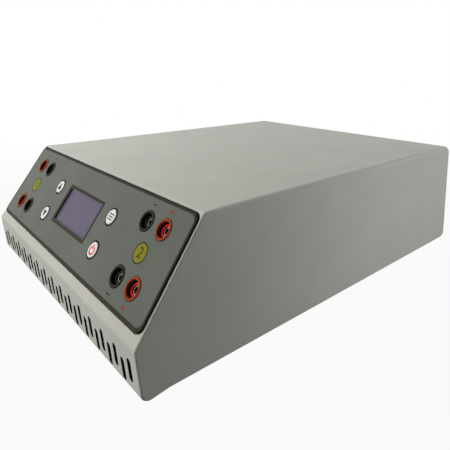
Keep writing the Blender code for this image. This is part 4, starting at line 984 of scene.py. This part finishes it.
work = bmesh.new()
dome = rolled(fan["hub"] - fan["dome"], hubHigh - fan["dome"], fan["dome"], 0)
hubProfile = [(0.0, hubLow), (fan["hub"], hubLow)] + dome + [(0.0, hubHigh)]
addTurned(work, hubProfile, sides["usual"], fanPlace, False)
for k in range(blade["count"]):
    addBlade(work, 2.0 * math.pi * k / blade["count"])
settle(makePiece(work, "fan_rotor_shape", black), "fan_rotor_body", "black_plastic", "fan_rotor")


# geometry nodes: wire rings on two crossed wires, with four eyes
def guardTree():
    tree, given = startTree("ring_guard", ("Rings", "Int"), ("Ring Step", "Float"), ("Wire Radius", "Float"),
                            ("Bar Radius", "Float"), ("Reach", "Float"), ("Eye Radius", "Float"),
                            ("Eye Thick", "Float"), ("Eye Pitch", "Float"))
    line = addNode(tree, "GeometryNodeMeshLine", values={"Offset": (0, 0, 0)},
                   links={"Count": given["Rings"]})
    index = addNode(tree, "GeometryNodeInputIndex")
    order = addNode(tree, "ShaderNodeMath", {"operation": "ADD"}, values={1: 1.0}, links={0: index})
    radius = addNode(tree, "ShaderNodeMath", {"operation": "MULTIPLY"},
                     links={0: order, 1: given["Ring Step"]})
    size = addNode(tree, "ShaderNodeCombineXYZ", values={"Z": 1.0}, links={"X": radius, "Y": radius})
    hoop = addNode(tree, "GeometryNodeCurvePrimitiveCircle", values={"Resolution": 96, "Radius": 1.0})
    hoops = addNode(tree, "GeometryNodeInstanceOnPoints",
                    links={"Points": line, "Instance": hoop, "Scale": size})
    loose = addNode(tree, "GeometryNodeRealizeInstances", links={"Geometry": hoops})
    section = addNode(tree, "GeometryNodeCurvePrimitiveCircle", values={"Resolution": 12},
                      links={"Radius": given["Wire Radius"]})
    rings = addNode(tree, "GeometryNodeCurveToMesh", links={"Curve": loose, "Profile Curve": section})
    far = addNode(tree, "ShaderNodeCombineXYZ", links={"X": given["Reach"]})
    near = addNode(tree, "ShaderNodeVectorMath", {"operation": "SCALE"}, values={"Scale": -1.0},
                   links={0: far})
    straight = addNode(tree, "GeometryNodeCurvePrimitiveLine", links={"Start": near, "End": far})
    barSection = addNode(tree, "GeometryNodeCurvePrimitiveCircle", values={"Resolution": 12},
                         links={"Radius": given["Bar Radius"]})
    bar = addNode(tree, "GeometryNodeCurveToMesh", values={"Fill Caps": True},
                  links={"Curve": straight, "Profile Curve": barSection})
    bars = [addNode(tree, "GeometryNodeTransform", values={"Rotation": (0, 0, math.radians(turn))},
                    links={"Geometry": bar}) for turn in (45.0, 135.0)]
    eye = addNode(tree, "GeometryNodeMeshCylinder", values={"Vertices": 40},
                  links={"Radius": given["Eye Radius"], "Depth": given["Eye Thick"]})
    eyeSpots = addNode(tree, "GeometryNodeMeshGrid", values={"Vertices X": 2, "Vertices Y": 2},
                       links={"Size X": given["Eye Pitch"], "Size Y": given["Eye Pitch"]})
    eyes = addNode(tree, "GeometryNodeInstanceOnPoints", links={"Points": eyeSpots, "Instance": eye})
    joined = addNode(tree, "GeometryNodeJoinGeometry")
    for part in (rings, *bars, eyes):
        tree.links.new(part.outputs[0], joined.inputs["Geometry"])
    return endTree(tree, joined, given["Material"])


guard = {"Rings": 3, "Wire Radius": 0.0009, "Bar Radius": 0.0008, "Reach": 0.0352, "Eye Radius": 0.0040,
         "Eye Thick": 0.0012, "Eye Pitch": fan["holePitch"], "Material": nickel}
guard["Ring Step"] = (fan["bore"] - 2 * guard["Wire Radius"]) / guard["Rings"]
guardHigh = gap + guard["Wire Radius"]
guardPiece = makePiece(bmesh.new(), "fan_guard_wires", nickel)
runTree(guardPiece, guardTree(), guard, at(fanPlace, 0, 0, guardHigh))
settle(guardPiece, "chassis", "guard_wire", "fan_guard")

# screws: a low domed head with a cross recess, on a grid of points
screw = {"radius": 0.0027, "height": 0.0014, "flank": 0.35, "sunk": 0.0002, "crossLong": 0.0030,
         "crossWide": 0.0006, "crossCorner": 0.0001, "crossDeep": 0.0008, "uneven": 1.02,
         "rearInset": 0.012, "baseInset": 0.010}
screwHead = [(screw["radius"] * math.sin(t),
              screw["height"] * (screw["flank"] + (1.0 - screw["flank"]) * math.cos(t))) for t in quarter(8)]
screwHead += [(screw["radius"], -screw["sunk"]), (0.0, -screw["sunk"])]
crossOutlines = [roundedRect(long, wide, screw["crossCorner"], steps=2)
                 for long, wide in ((screw["crossLong"], screw["crossWide"]),
                                    (screw["crossWide"] * screw["uneven"], screw["crossLong"]))]
underside = basePlace @ Matrix.Rotation(math.pi, 4, "X")
grids = (("rear_screws", rearPlace, 0.0, rearWidth - screw["rearInset"], rearHeight - screw["rearInset"],
          3, 2, 3),
         ("guard_screws", fanPlace, guardHigh + 0.5 * guard["Eye Thick"], fan["holePitch"], fan["holePitch"],
          2, 2, 5),
         ("base_screws", underside, -bottomZ, baseWidth - screw["baseInset"], baseDepth - screw["baseInset"],
          2, 3, 7))
for name, place, height, sizeX, sizeY, countX, countY, seed in grids:
    made = turnedPiece(name, zinc, screwHead, sides["screw"], Matrix.Identity(4))
    for outline in crossOutlines:
        cutPrism(made, zinc, outline, screw["height"] - screw["crossDeep"], screw["height"] + over,
                 Matrix.Identity(4))
    runTree(made, gridMaker, {"Size X": sizeX, "Size Y": sizeY, "Count X": countX, "Count Y": countY,
                              "Seed": seed, "Material": zinc}, at(place, 0, 0, height))
    settle(made, "chassis", "contact_metal")
print("fan, guard and screws made")

# feet: pressed rubber, rounded at the ground
foot = {"in": 0.024, "radius": 0.009, "round": 0.0012}
footTop = bottomZ - gap
footRim = rolled(foot["radius"] - foot["round"], foot["round"], foot["round"], 0, -1)
footProfile = [(0.0, footTop), (foot["radius"], footTop)] + footRim + [(0.0, 0.0)]
footSpots = [(sx, sy) for sx in (-1, 1) for sy in (-1, 1)]
for number, (sx, sy) in enumerate(footSpots, 1):
    place = at(basePlace, sx * (0.5 * baseWidth - foot["in"]), sy * (0.5 * baseDepth - foot["in"]))
    made = turnedPiece("foot_pad_" + str(number), finish["rubber_moulded_black"], footProfile, sides["small"],
                       place)
    settle(made, "chassis", "foot_rubber", "foot_" + str(number))
print("feet made")

# finishes of the solids that stay as they are
kept = {"display_window": "acrylic_lilac_hiding_shade", "lcd_frame": "steel_chromate_brown",
        "lcd_glass": "display_cell_lilac", "control_board": "laminate_board_green",
        "main_board": "laminate_board_green", "base_plate": "steel_coat_dark_and_painted_shade",
        "transformer_core": "silicon_steel_varnished", "transformer_winding": "polyester_tape_yellow",
        "heat_sink": "aluminium_extruded", "capacitor_1": "pvc_shrunk_black",
        "capacitor_2": "pvc_shrunk_black"}
for number in range(1, 5):
    kept["switch_" + str(number)] = "phenolic_moulded_black"
for name, finishName in kept.items():
    for materialSlot in cadNodes[name].material_slots:
        materialSlot.material = finish[finishName]
print("solids finished:", len(kept))
